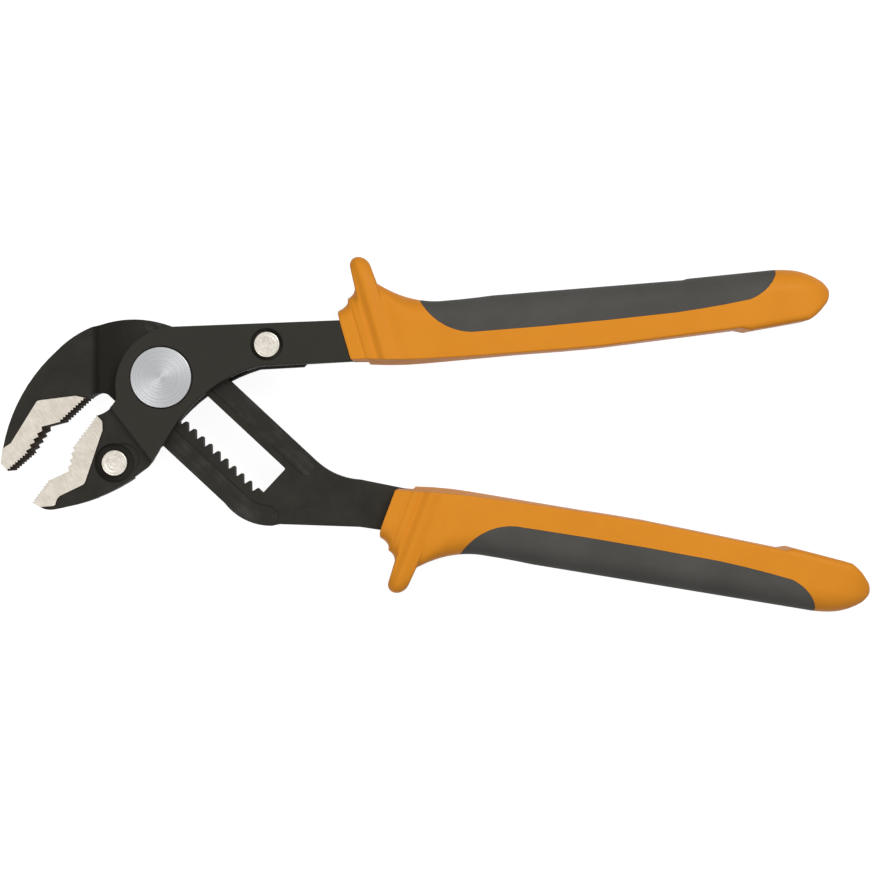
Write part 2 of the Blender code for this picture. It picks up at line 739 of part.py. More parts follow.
# Pivot: the front disc carries the block, and the rear disc is riveted to it
pivot_bolt = rod(
    "pivot_bolt", (0.0, 0.0), PIVOT_RADIUS, CHEEK_INNER, PIVOT_FACE, rack, ROUND_SEGMENTS, STEEL_BRIGHT
)
block_outline = [
    (BLOCK_REAR, -BLOCK_HALF),
    (BLOCK_FRONT, -BLOCK_HALF),
    (BLOCK_FRONT, BLOCK_HALF),
    (BLOCK_REAR, BLOCK_HALF),
]
pocket_outline = [
    (PAWL_REAR - FIT, -SLOT_WIDTH),
    (PAWL_FRONT + FIT, -SLOT_WIDTH),
    (PAWL_FRONT + FIT, POCKET_FLOOR),
    (PAWL_REAR - FIT, POCKET_FLOOR),
]
spigot_middle = (BLOCK_REAR + BLOCK_FRONT) / 2
spigot_spread = (BLOCK_FRONT - BLOCK_REAR) / 2 - SPIGOT_RADIUS - FIT
spigot_places = [(spigot_middle + side * spigot_spread, (POCKET_FLOOR + BLOCK_HALF) / 2) for side in (-1, 1)]
block = plate("block", block_outline, -RACK_FACE, CHEEK_INNER + CHEEK_THICKNESS / 4, rack)
block_round = rod("block_round", (0.0, 0.0), PIVOT_RADIUS - FIT / 3, -PAST, PAST, rack, ROUND_SEGMENTS)
combine(block, block_round, "INTERSECT")
join(pivot_bolt, block)
cut(pivot_bolt, plate("pawl_pocket", pocket_outline, -PAST, CHEEK_INNER, rack))
pivot_nut = rod(
    "pivot_nut", (0.0, 0.0), PIVOT_RADIUS, -PIVOT_FACE, -CHEEK_INNER, rack, ROUND_SEGMENTS, STEEL_BRIGHT
)
for count, place in enumerate(spigot_places):
    join(pivot_bolt, rod(f"spigot_{count}", place, SPIGOT_RADIUS, FIT - PIVOT_FACE, 0.0, rack, PIN_SEGMENTS))
    cut(
        pivot_nut,
        rod(f"spigot_hole_{count}", place, SPIGOT_RADIUS + RIVET_CLEARANCE, -PAST, PAST, rack, PIN_SEGMENTS),
    )

# Ratchet pawl: its teeth follow the gaps of the rack with a little play
pawl_tip = -SLOT_HALF - TOOTH_DEPTH + PAWL_PLAY
ramp_play = PAWL_PLAY / math.sin(math.radians(RAMP_ANGLE))
steep_play = PAWL_PLAY / math.cos(math.radians(STEEP_ANGLE))


def flank(level, run):
    # How far a flank has moved out from the root of the rack at a level above it.
    return run * (level + SLOT_HALF + TOOTH_DEPTH) / TOOTH_DEPTH


pawl_half = RACK_FACE - FIT
pawl_outline = [
    (PAWL_REAR, PAWL_FACE),
    (PAWL_FRONT, PAWL_FACE),
    (PAWL_FRONT, PAWL_BACK),
    (PAWL_REAR, PAWL_BACK),
]
ratchet_pawl = plate("ratchet_pawl", pawl_outline, -pawl_half, pawl_half, rack, STEEL_SPRING)
ramp_foot = first_valley - TOOTH_ROOT / 2 + ramp_play
steep_foot = first_valley + TOOTH_ROOT / 2 - steep_play
pawl_tooth = [
    (ramp_foot - flank(PAWL_FACE, RAMP_RUN), PAWL_FACE),
    (ramp_foot - flank(pawl_tip, RAMP_RUN), pawl_tip),
    (steep_foot + flank(pawl_tip, STEEP_RUN), pawl_tip),
    (steep_foot + flank(PAWL_FACE, STEEP_RUN), PAWL_FACE),
    (first_valley, PAWL_FACE + PAWL_BODY / 4),
]
join(
    ratchet_pawl,
    repeat(plate("pawl_teeth", pawl_tooth, -pawl_half, pawl_half, rack), PAWL_TEETH, (TOOTH_PITCH, 0.0)),
)


def cross_rod(name, along, low, high):
    # A round cutter that runs across the slot.
    made = rod(name, (0.0, 0.0), SPRING_BORE, low, high, rack, PIN_SEGMENTS)
    made.data.transform(Matrix.Rotation(-math.pi / 2, 4, "X"))
    made.data.transform(Matrix.Translation((along, 0.0, 0.0)))
    return made


def spring(name, along):
    # A coil spring between the seats in the pawl and in the block.
    low = PAWL_BACK - SPRING_SEAT + SPRING_WIRE / 2 + FIT
    high = POCKET_FLOOR + SPRING_SEAT - SPRING_WIRE / 2 - FIT
    per_turn = 9
    count = SPRING_TURNS * per_turn
    points = []
    for i in range(count + 1):
        turn = 2 * math.pi * i / per_turn
        x = along + SPRING_RADIUS * math.cos(turn)
        z = SPRING_RADIUS * math.sin(turn)
        points.append(Vector((x, low + (high - low) * i / count, z)))
    gap = min((points[i + per_turn] - points[i]).length for i in range(count + 1 - per_turn)) - SPRING_WIRE
    print(f"{name}: least gap between turns {gap * 1000:.2f} mm")
    curve = bpy.data.curves.new(name, "CURVE")
    curve.dimensions = "3D"
    curve.bevel_depth = SPRING_WIRE / 2
    curve.bevel_resolution = 1
    curve.use_fill_caps = True
    line = curve.splines.new("POLY")
    line.points.add(count)
    for point, place in zip(line.points, points):
        point.co = (*place, 1.0)
    source = bpy.data.objects.new(name, curve)
    scene_root.objects.link(source)
    graph = bpy.context.evaluated_depsgraph_get()
    mesh = bpy.data.meshes.new_from_object(source.evaluated_get(graph))
    bpy.data.objects.remove(source)
    bpy.data.curves.remove(curve)
    close_mesh(mesh)
    mesh.materials.clear()
    return add_object(name, mesh, rack, STEEL_SPRING)


for name, along in zip(("pawl_spring_upper", "pawl_spring_lower"), SPRING_PLACES):
    spring(name, along)
    cut(ratchet_pawl, cross_rod(f"{name}_pawl_seat", along, PAWL_BACK - SPRING_SEAT, SLOT_WIDTH))
    cut(pivot_bolt, cross_rod(f"{name}_block_seat", along, 0.0, POCKET_FLOOR + SPRING_SEAT))

# Grips: a loft of slanted sections along the handle
slant = math.tan(math.radians(COLLAR_SLANT))
guard_start = 2 * BAND_WIDTH
guard_end = guard_start + GUARD_WIDTH
guard_side = GUARD_RISE - GUARD_WIDTH / 2
nose_place = 0.0011
collar_half = COLLAR_DEPTH / 2
grip_half = GRIP_DEPTH / 2


class GripForm:
    # How a grip of one length changes along its handle.
    def __init__(self, length):
        notch = length - 0.0290
        self.length = length
        self.inner = trace(
            [
                (0.0, -COLLAR_INNER),
                (0.0006, -COLLAR_INNER - 0.0004),
                (SHANK_BARE - 0.0021, -COLLAR_INNER - 0.0008),
                (SHANK_BARE - 0.0016, -GRIP_INNER + 0.0012),
                (0.0200, -GRIP_INNER + 0.0002, 0.0003),
                (length - 0.0695, -GRIP_INNER + 0.0007),
                (notch, -GRIP_INNER + 0.0027),
                (notch + 0.0028, -GRIP_INNER + 0.0018),
                (length - 0.0088, -GRIP_INNER + 0.0035),
                (length - 0.0005, nose_place - 0.0015, 0.0006),
                (length, nose_place, 0.0002),
            ],
            GRIP_ARC_STEP,
        )
        self.outer = trace(
            [
                (length, nose_place),
                (length - 0.0003, nose_place + 0.0018, 0.0002),
                (length - 0.0089, GRIP_OUTER + 0.0003, 0.0009),
                (length - 0.0140, GRIP_OUTER + 0.0008, 0.0001),
                (0.0450, GRIP_OUTER),
                (0.0310, GRIP_OUTER - 0.0003, -0.0001),
                (guard_end + 0.0006, GUARD_RISE - 0.0083, -0.0018),
                (guard_end + 0.0002, guard_side - 0.0004),
                (guard_start - 0.0001, guard_side, GUARD_WIDTH / 2),
                (guard_start - 0.0006, COLLAR_OUTER + 0.0060),
                (BAND_WIDTH + 0.0002, COLLAR_OUTER + 0.0034, -0.0004),
                (BAND_WIDTH - 0.0002, COLLAR_OUTER + 0.0021),
                (0.0, COLLAR_OUTER, -0.0003),
            ],
            GRIP_ARC_STEP,
        )[::-1]
        self.depth = trace(
            [
                (0.0, collar_half - BAND_STEP / 2),
                (BAND_WIDTH - 0.0003, collar_half),
                (BAND_WIDTH + 0.0003, collar_half + BAND_STEP),
                (guard_start - 0.0003, collar_half + BAND_STEP),
                (guard_start + 0.0003, grip_half - BAND_STEP / 2),
                (guard_end + 0.0002, grip_half, -GUARD_DEPTH / 2 + grip_half),
                (0.0600, grip_half - 0.0004),
                (length - 0.0260, grip_half),
                (length - 0.0140, grip_half),
                (length, 0.0012, -0.0026),
            ],
            GRIP_ARC_STEP,
        )
        self.edge = trace([(0.0, GRIP_EDGE), (notch, 1.5 * GRIP_EDGE), (notch + 0.0028, NOSE_EDGE)])
        self.draft = trace([(0.0, GRIP_DRAFT), (0.0200, GRIP_DRAFT), (notch, GRIP_DRAFT / 8)])
        self.fullness = trace([(0.0, 2.4), (guard_start, 3.5), (guard_end, 3.5), (0.0200, 2.0)])


def height_at(line, place):
    for low, high in zip(line, line[1:]):
        if low.x <= place <= high.x and high.x > low.x:
            return low.y + (high.y - low.y) * (place - low.x) / (high.x - low.x)
    return line[-1].y


def section_places(form):
    # One section wherever an edge or the depth of the grip turns.
    places = sorted(point.x for line in (form.inner, form.outer, form.depth) for point in line)
    kept = [0.0]
    for place in places:
        if place - kept[-1] > 0.0004 and place < form.length - 0.0002:
            kept.append(place)
    return kept


def grip_section(form, place, inset):
    # Half of a section, from its inner edge over the front to its outer edge: (across, up).
    low = height_at(form.inner, place)
    high = max(height_at(form.outer, place) - inset, low + GRIP_EDGE)
    half = max(height_at(form.depth, place) - inset, GRIP_EDGE)
    edge = min(height_at(form.edge, place), 0.3 * half, 0.2 * (high - low))
    draft = min(height_at(form.draft, place), 0.2 * (high - low))
    shoulder = min(GRIP_OUTER - GRIP_ROUND, low + 0.6 * (high - low))
    power = 2 / height_at(form.fullness, place)
    points = [(low, 0.0)]
    for i in range(4):
        turn = math.pi / 2 * i / 3
        points.append((low + draft + edge * (1 - math.cos(turn)), half - edge * (1 - math.sin(turn))))
    for i in range(5):
        turn = math.pi / 2 * i / 5
        across = shoulder + (high - shoulder) * math.sin(turn) ** power
        points.append((across, half * math.cos(turn) ** power))
    return points + [(high, 0.0)]


def grip_loft(name, handle, inset, finish=None):
    form = GripForm(handle.length)
    shape = bmesh.new()
    rings = []
    for place in section_places(form):
        front = grip_section(form, place, inset)
        back = [(across, -up) for across, up in front[-2:0:-1]]
        ring = [
            shape.verts.new((place - across * slant, across * handle.side, up)) for across, up in front + back
        ]
        rings.append(ring)
    for ring, following in zip(rings, rings[1:]):
        for i in range(len(ring)):
            j = (i + 1) % len(ring)
            shape.faces.new((ring[i], ring[j], following[j], following[i]))
    shape.faces.new(rings[0])
    shape.faces.new(rings[-1])
    bmesh.ops.recalc_face_normals(shape, faces=shape.faces)
    mesh = bpy.data.meshes.new(name)
    shape.to_mesh(mesh)
    shape.free()
    return add_object(name, mesh, handle.frame, finish)


def insert_outline(handle, gap):
    # The field of the soft insert on the side of the handle, open past the outer edge.
    end = handle.length - INSERT_END_MARGIN
    corners = [
        (INSERT_START - gap, GRIP_OUTER + PAST),
        (INSERT_START - gap, GRIP_OUTER - 0.0001),
        (INSERT_START + 0.0146, -INSERT_REACH - gap, 0.0026),
        (end - 0.0300, -INSERT_REACH + 0.0003 - gap),
        (end - 0.0088, -INSERT_REACH + 0.0027 - gap, 0.0003),
        (end + gap, GRIP_OUTER + 0.0001, 0.0014),
        (end + gap, GRIP_OUTER + PAST),
    ]
    return [(x, y * handle.side) for x, y in trace(corners)]


def socket_outline(handle):
    # Room for the tang, open at the collar and along the bare edge of the shank.
    corners = [
        (-PAST, -GRIP_INNER - PAST),
        (SHANK_BARE, -GRIP_INNER - PAST),
        (SHANK_BARE, -TANG_INNER - FIT),
        (TANG_LENGTH + FIT, -TANG_INNER - FIT),
        (TANG_LENGTH + FIT, TANG_OUTER + FIT),
        (-PAST, TANG_OUTER + FIT),
    ]
    return [(x, y * handle.side) for x, y in corners]


for handle in (upper, lower):
    name = handle.name
    grip = grip_loft(f"{name}_grip", handle, 0.0, PLASTIC_ORANGE)
    outer_form = grip_loft(f"{name}_outer_form", handle, 0.0)
    recess = plate(f"{name}_recess", insert_outline(handle, FIT), -PAST * 2, PAST * 2, handle.frame)
    cut(recess, grip_loft(f"{name}_recess_core", handle, INSERT_THICKNESS + FIT))
    socket_half = RACK_FACE + FIT
    cut(
        grip,
        recess,
        plate(f"{name}_socket", socket_outline(handle), -socket_half, socket_half, handle.frame),
    )
    insert = plate(
        f"{name}_grip_insert", insert_outline(handle, 0.0), -PAST * 2, PAST * 2, handle.frame, PLASTIC_GREY
    )
    combine(insert, outer_form, "INTERSECT")
    cut(insert, grip_loft(f"{name}_insert_core", handle, INSERT_THICKNESS))
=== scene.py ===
import json
import math

import bmesh
import bpy
from mathutils import Matrix, Vector, geometry


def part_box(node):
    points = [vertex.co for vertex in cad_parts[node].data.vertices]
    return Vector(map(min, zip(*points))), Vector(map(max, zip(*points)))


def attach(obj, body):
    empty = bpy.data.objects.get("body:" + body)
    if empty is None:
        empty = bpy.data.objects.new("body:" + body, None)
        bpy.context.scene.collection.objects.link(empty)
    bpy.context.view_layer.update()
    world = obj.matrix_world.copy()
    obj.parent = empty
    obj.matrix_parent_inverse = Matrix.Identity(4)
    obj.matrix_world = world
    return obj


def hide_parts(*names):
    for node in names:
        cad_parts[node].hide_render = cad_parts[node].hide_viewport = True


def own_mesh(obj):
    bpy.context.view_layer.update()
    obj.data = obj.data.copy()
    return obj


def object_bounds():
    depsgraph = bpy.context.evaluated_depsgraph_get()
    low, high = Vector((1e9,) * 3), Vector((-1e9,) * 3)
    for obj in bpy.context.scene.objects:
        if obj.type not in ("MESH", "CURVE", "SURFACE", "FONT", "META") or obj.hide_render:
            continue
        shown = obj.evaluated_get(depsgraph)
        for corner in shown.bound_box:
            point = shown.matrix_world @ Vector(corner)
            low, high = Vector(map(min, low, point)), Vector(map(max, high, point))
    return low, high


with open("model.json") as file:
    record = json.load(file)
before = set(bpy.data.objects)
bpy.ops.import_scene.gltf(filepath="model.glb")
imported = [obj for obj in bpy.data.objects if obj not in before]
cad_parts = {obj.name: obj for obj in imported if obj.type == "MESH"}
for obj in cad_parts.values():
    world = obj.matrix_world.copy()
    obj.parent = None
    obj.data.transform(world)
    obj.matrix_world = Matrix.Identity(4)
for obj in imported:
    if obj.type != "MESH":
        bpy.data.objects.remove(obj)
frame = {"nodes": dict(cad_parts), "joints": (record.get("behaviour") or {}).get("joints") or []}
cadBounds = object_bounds()
nodes = frame["nodes"]
scene = bpy.context.scene
print("frame loaded:", len(nodes), "nodes")

# directions and heights that the pieces share, read from the frame
jointAxes = {joint["name"]: Vector(joint["axis"]) for joint in frame["joints"]}
slotWay = -jointAxes["rack_slide"]
acrossWay = jointAxes["pawl_slide"]
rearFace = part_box("pivot_nut")[0].z
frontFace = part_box("pivot_bolt")[1].z
midPlane = (rearFace + frontFace) / 2
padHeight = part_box("rack_lever")[1].z - midPlane
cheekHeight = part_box("main_lever")[1].z - midPlane


# small helpers for numbers and node trees

def clamp(share):
    return min(1.0, max(0.0, share))


def easing(share):
    # a smooth step from 0 to 1
    return share * share * (3 - 2 * share)


def tone(red, green, blue):
    # a colour as seen on screen, turned into the linear values that a shader takes
    linear = []
    for value in (red / 255, green / 255, blue / 255):
        linear.append(value / 12.92 if value <= 0.04045 else ((value + 0.055) / 1.055) ** 2.4)
    return linear + [1.0]


def feed(tree, socket, value):
    if isinstance(value, bpy.types.NodeSocket):
        tree.links.new(value, socket)
    else:
        socket.default_value = value


def addNode(tree, kind, inputs=None, **settings):
    node = tree.nodes.new(kind)
    for name, value in settings.items():
        setattr(node, name, value)
    for name, value in (inputs or {}).items():
        feed(tree, node.inputs[name], value)
    return node


def calc(tree, operation, *values, clamped=False):
    node = addNode(tree, "ShaderNodeMath", operation=operation, use_clamp=clamped)
    for socket, value in zip(node.inputs, values):
        feed(tree, socket, value)
    return node.outputs[0]


def weigh(tree, first, second, share):
    # two values mixed, with this share of the first one
    weighted = calc(tree, "MULTIPLY", first, share), calc(tree, "MULTIPLY", second, 1 - share)
    return calc(tree, "ADD", *weighted)


def remap(tree, value, low, high, toLow=0.0, toHigh=1.0):
    ends = {"Value": value, "From Min": low, "From Max": high, "To Min": toLow, "To Max": toHigh}
    return addNode(tree, "ShaderNodeMapRange", ends, interpolation_type="SMOOTHSTEP").outputs["Result"]


noiseRange = (0.3, 0.7)  # where most values of a noise lie


def spread(tree, noise, low=0.0, high=1.0):
    return remap(tree, noise, *noiseRange, low, high)


def blendColours(tree, factor, first, second):
    node = addNode(tree, "ShaderNodeMix", data_type="RGBA")
    for index, given in ((0, factor), (6, first), (7, second)):  # the sockets for colours
        feed(tree, node.inputs[index], given)
    return node.outputs[2]


def newGroup(kind, name, inputs, outputs):
    # a tree with named sockets, what it is given and what it results in
    tree = bpy.data.node_groups.new(name, kind)
    for way, sockets in (("INPUT", inputs), ("OUTPUT", outputs)):
        for label, socketType in sockets:
            tree.interface.new_socket(name=label, in_out=way, socket_type=socketType)
    return tree, tree.nodes.new("NodeGroupInput").outputs, tree.nodes.new("NodeGroupOutput").inputs


# shared surface effects as shader groups

floatSocket = "NodeSocketFloat"
vectorSocket = "NodeSocketVector"
effects = {
    "Cloud": {"Detail": 3.0, "Roughness": 0.6},
    "Grain": {"Detail": 2.0, "Roughness": 0.6},
    "Lines": {"Detail": 4.0, "Roughness": 0.7},
    "Rings": {"Detail": 3.0, "Roughness": 0.65},
    "spot": (0.45, 0.1),  # from the rim of a speck to its full tone
}


def newEffect(name, inputs, outputs):
    # a shader group that takes a vector and values, and puts out values
    sockets = [("Vector", vectorSocket)] + [(label, floatSocket) for label in inputs]
    return newGroup("ShaderNodeTree", name, sockets, [(label, floatSocket) for label in outputs])


def makeGrainEffect():
    # cloudy tone and a fine grain, both about 0.5 in the middle
    tree, given, result = newEffect("surface grain", ("Cloud Scale", "Grain Scale"), ("Cloud", "Grain"))
    for label in ("Cloud", "Grain"):
        values = {"Vector": given["Vector"], "Scale": given[label + " Scale"], **effects[label]}
        feed(tree, result[label], addNode(tree, "ShaderNodeTexNoise", values).outputs[0])
    return tree


def makeSpeckEffect():
    # rare small spots
    tree, given, result = newEffect("fine specks", ("Scale", "Share"), ("Mask",))
    values = {"Vector": given["Vector"], "Scale": given["Scale"]}
    cells = addNode(tree, "ShaderNodeTexVoronoi", values).outputs
    chance = addNode(tree, "ShaderNodeSeparateColor", {"Color": cells["Color"]}).outputs[0]
    chosen = calc(tree, "LESS_THAN", chance, given["Share"])
    spot = remap(tree, cells["Distance"], *effects["spot"])
    feed(tree, result["Mask"], calc(tree, "MULTIPLY", chosen, spot))
    return tree


def makeBrushEffect():
    # long scratches along the local X of the vector that comes in
    tree, given, result = newEffect("brush lines", ("Scale", "Stretch"), ("Lines",))
    along, across, up = addNode(tree, "ShaderNodeSeparateXYZ", {"Vector": given["Vector"]}).outputs
    drawn = {"X": calc(tree, "DIVIDE", along, given["Stretch"]), "Y": across, "Z": up}
    vector = addNode(tree, "ShaderNodeCombineXYZ", drawn).outputs[0]
    values = {"Vector": vector, "Scale": given["Scale"], **effects["Lines"]}
    feed(tree, result["Lines"], addNode(tree, "ShaderNodeTexNoise", values).outputs[0])
    return tree


def makeRingEffect():
    # turning marks round the local Z axis: uneven rings as a function of the radius
    tree, given, result = newEffect("turning marks", ("Scale",), ("Rings",))
    parts = addNode(tree, "ShaderNodeSeparateXYZ", {"Vector": given["Vector"]}).outputs
    squares = [calc(tree, "MULTIPLY", part, part) for part in parts[:2]]
    radius = calc(tree, "SQRT", calc(tree, "ADD", *squares))
    values = {"W": radius, "Scale": given["Scale"], **effects["Rings"]}
    noise = addNode(tree, "ShaderNodeTexNoise", values, noise_dimensions="1D")
    feed(tree, result["Rings"], noise.outputs[0])
    return tree


grainEffect = makeGrainEffect()
speckEffect = makeSpeckEffect()
brushEffect = makeBrushEffect()
ringEffect = makeRingEffect()
print("surface groups ready")


# materials: shared steps

def startMaterial(name, metallic=0.0, specular=0.5):
    made = bpy.data.materials.new(name)
    made.use_nodes = True
    shader = made.node_tree.nodes["Principled BSDF"].inputs
    shader["Metallic"].default_value = metallic
    shader["Specular IOR Level"].default_value = specular
    return made, made.node_tree, shader


def objectVector(tree, place=(0.0, 0.0, 0.0), turn=0.0):
    # object coordinates, moved so that the pattern is centred on a place and turned about Z
    coordinates = addNode(tree, "ShaderNodeTexCoord").outputs["Object"]
    values = {"Vector": coordinates, "Location": place, "Rotation": (0.0, 0.0, math.radians(turn))}
    return addNode(tree, "ShaderNodeMapping", values, vector_type="TEXTURE").outputs[0]


def placeEffect(tree, effect, **values):
    return addNode(tree, "ShaderNodeGroup", values, node_tree=effect).outputs


def placeGrain(tree, vector, finish):
    # the cloud and the grain of a finish. One that names no grain uses its cloud alone.
    values = {"Vector": vector, "Cloud Scale": finish["cloudScale"]}
    if "grainScale" in finish:
        values["Grain Scale"] = finish["grainScale"]
    return placeEffect(tree, grainEffect, **values)[:2]


def placeLines(tree, vector, finish):
    values = {"Vector": vector, "Scale": finish["lineScale"], "Stretch": finish["stretch"]}
    return placeEffect(tree, brushEffect, **values)[0]


def placeRings(tree, vector, finish):
    return placeEffect(tree, ringEffect, Vector=vector, Scale=finish["ringScale"])[0]


def toneOf(tree, value, finish):
    return blendColours(tree, value, finish["dark"], finish["light"])


def bumpFrom(tree, height, depth, strength=1.0):
    values = {"Height": height, "Distance": depth, "Strength": strength}
    return addNode(tree, "ShaderNodeBump", values).outputs["Normal"]


def dress(tree, shader, colour, roughness, normal=None):
    feed(tree, shader["Base Color"], colour)
    feed(tree, shader["Roughness"], roughness)
    if normal is not None:
        feed(tree, shader["Normal"], normal)


# materials of the steel pieces

blackFinish = {
    "dark": tone(46, 44, 40),
    "light": tone(55, 53, 48),
    "cheek": tone(55, 53, 48),
    "cheekShare": 0.85,
    "cheekBelow": (0.0006, 0.0001),  # below the face of a cheek: where its tone begins and is full
    # painted shade: the darker tone of the low arm face beside the upper jaw, where the jaw and the cheek
    # shade it
    "recess": tone(38, 36, 32),
    "recessShadeSide": (-0.0040, -0.0150),  # along X: where the painted shade of the recess begins and is full
    "recessShadeAbove": (0.0046, 0.0030),  # above the mid-plane, in the same way
    "speck": tone(70, 67, 62),
    "speckScale": 2600.0,
    "speckShare": 0.035,
    "cloudScale": 140.0,
    "cloudShare": 0.6,
    "grainScale": 3600.0,
    "grainDepth": 0.00002,
    "roughness": (0.50, 0.62),
    "specular": 0.03,
}


def makeBlackSteel():
    # blackened forging: matt and cloudy, with a few fine specks, a little paler on the ground cheeks
    # and darker by painted shade on the low arm face in the recess beside the upper jaw
    made, tree, shader = startMaterial("black steel", specular=blackFinish["specular"])
    vector = objectVector(tree)
    cloud, grain = placeGrain(tree, vector, blackFinish)
    colour = toneOf(tree, spread(tree, weigh(tree, cloud, grain, blackFinish["cloudShare"])), blackFinish)
    side, _, height = addNode(tree, "ShaderNodeSeparateXYZ", {"Vector": vector}).outputs
    above = calc(tree, "ABSOLUTE", calc(tree, "SUBTRACT", height, midPlane))
    cheekBand = [cheekHeight - below for below in blackFinish["cheekBelow"]]
    cheek = remap(tree, above, *cheekBand, 0.0, blackFinish["cheekShare"])
    colour = blendColours(tree, cheek, colour, blackFinish["cheek"])
    # painted shade: darkens the low arm face between the upper jaw and the cheek, where they shade it
    recess = remap(tree, side, *blackFinish["recessShadeSide"])
    recess = calc(tree, "MULTIPLY", recess, remap(tree, above, *blackFinish["recessShadeAbove"]))
    colour = blendColours(tree, recess, colour, blackFinish["recess"])
    specks = {"Vector": vector, "Scale": blackFinish["speckScale"], "Share": blackFinish["speckShare"]}
    colour = blendColours(tree, placeEffect(tree, speckEffect, **specks)[0], colour, blackFinish["speck"])
    roughness = spread(tree, grain, *blackFinish["roughness"])
    dress(tree, shader, colour, roughness, bumpFrom(tree, grain, blackFinish["grainDepth"]))
    return made


channelFinish = {
    "dark": tone(44, 42, 38),
    "light": tone(62, 60, 57),
    "worn": tone(74, 72, 68),
    "wornAlong": (-0.0085, -0.0110),  # along the slot: where the wear begins and is full
    "turn": -43.0,
    "lineScale": 520.0,
    "lineShare": 0.45,
    "stretch": 12.0,
    "streaks": (0.44, 0.68),
    "cloudScale": 150.0,
    "grainScale": 3600.0,
    "grainDepth": 0.00002,
    "roughness": (0.42, 0.56),
    "specular": 0.10,
}


def makeChannelSteel():
    # floors of the channels in the arm: rubbed paler in streaks along the slot, most at their upper end
    made, tree, shader = startMaterial("rubbed black steel", specular=channelFinish["specular"])
    vector = objectVector(tree, turn=channelFinish["turn"])
    lines = placeLines(tree, vector, channelFinish)
    cloud, grain = placeGrain(tree, vector, channelFinish)
    streaks = weigh(tree, lines, cloud, channelFinish["lineShare"])
    streaks = remap(tree, streaks, *channelFinish["streaks"])
    along = addNode(tree, "ShaderNodeSeparateXYZ", {"Vector": vector}).outputs[0]
    worn = calc(tree, "MULTIPLY", remap(tree, along, *channelFinish["wornAlong"]), streaks)
    colour = blendColours(tree, worn, toneOf(tree, streaks, channelFinish), channelFinish["worn"])
    roughness = spread(tree, grain, *channelFinish["roughness"])
    dress(tree, shader, colour, roughness, bumpFrom(tree, grain, channelFinish["grainDepth"]))
    return made


padFinish = {
    "dark": tone(184, 177, 165),
    "light": tone(212, 206, 195),
    "turn": -48.0,
    "lineScale": 4200.0,
    "lineShare": 0.6,
    "stretch": 9.0,
    "cloudScale": 420.0,
    "roughness": (0.50, 0.60),
    "lineDepth": 0.000008,
    "bump": 0.5,
}


def makeGroundSteel():
    # bare ground steel of the jaw pads, with fine slanting grinding marks
    made, tree, shader = startMaterial("ground steel", metallic=1.0)
    vector = objectVector(tree, turn=padFinish["turn"])
    lines = placeLines(tree, vector, padFinish)
    cloud = placeGrain(tree, vector, padFinish)[0]
    colour = toneOf(tree, spread(tree, weigh(tree, lines, cloud, padFinish["lineShare"])), padFinish)
    normal = bumpFrom(tree, lines, padFinish["lineDepth"], padFinish["bump"])
    dress(tree, shader, colour, spread(tree, lines, *padFinish["roughness"]), normal)
    return made


discFinish = {
    "dark": tone(172, 173, 175),
    "light": tone(192, 193, 194),
    "ringScale": 3600.0,
    "ringDepth": 0.000005,
    "bump": 0.5,
    "roughness": (0.36, 0.44),
    "anisotropy": 0.5,
    "anisotropyTurn": 0.25,
}


def makeTurnedSteel():
    # bright turned steel of the pivot discs: concentric tool marks
    made, tree, shader = startMaterial("turned steel", metallic=1.0)
    rings = placeRings(tree, objectVector(tree), discFinish)
    normal = bumpFrom(tree, rings, discFinish["ringDepth"], discFinish["bump"])
    roughness = spread(tree, rings, *discFinish["roughness"])
    dress(tree, shader, toneOf(tree, spread(tree, rings), discFinish), roughness, normal)
    shader["Anisotropic"].default_value = discFinish["anisotropy"]
    shader["Anisotropic Rotation"].default_value = discFinish["anisotropyTurn"]
    tangent = addNode(tree, "ShaderNodeTangent", direction_type="RADIAL", axis="Z")
    feed(tree, shader["Tangent"], tangent.outputs[0])
    return made


rivetFinish = {
    "dark": tone(192, 184, 172),
    "light": tone(222, 216, 206),
    "toneRange": (0.33, 0.6),
    "stain": tone(176, 162, 142),
    "stainRange": (0.63, 0.74),
    "stainShare": 0.5,
    "ringScale": 2600.0,
    "ringShare": 0.4,
    "ringDepth": 0.00002,
    "bump": 0.8,
    "cloudScale": 900.0,
    "grainScale": 5200.0,
    "roughness": (0.30, 0.46),
}


def makeRivetSteel(name, place):
    # peened nickel-coloured rivet heads: rings, mottling and a few brown stains
    made, tree, shader = startMaterial(name, metallic=1.0)
    vector = objectVector(tree, place)
    rings = placeRings(tree, vector, rivetFinish)
    cloud, grain = placeGrain(tree, vector, rivetFinish)
    mixed = weigh(tree, rings, cloud, rivetFinish["ringShare"])
    colour = toneOf(tree, remap(tree, mixed, *rivetFinish["toneRange"]), rivetFinish)
    stain = remap(tree, cloud, *rivetFinish["stainRange"], 0.0, rivetFinish["stainShare"])
    colour = blendColours(tree, stain, colour, rivetFinish["stain"])
    normal = bumpFrom(tree, mixed, rivetFinish["ringDepth"], rivetFinish["bump"])
    dress(tree, shader, colour, spread(tree, grain, *rivetFinish["roughness"]), normal)
    return made


# materials with a cloudy tone and a fine grain: oiled walls of the jaw teeth, springs and both plastics

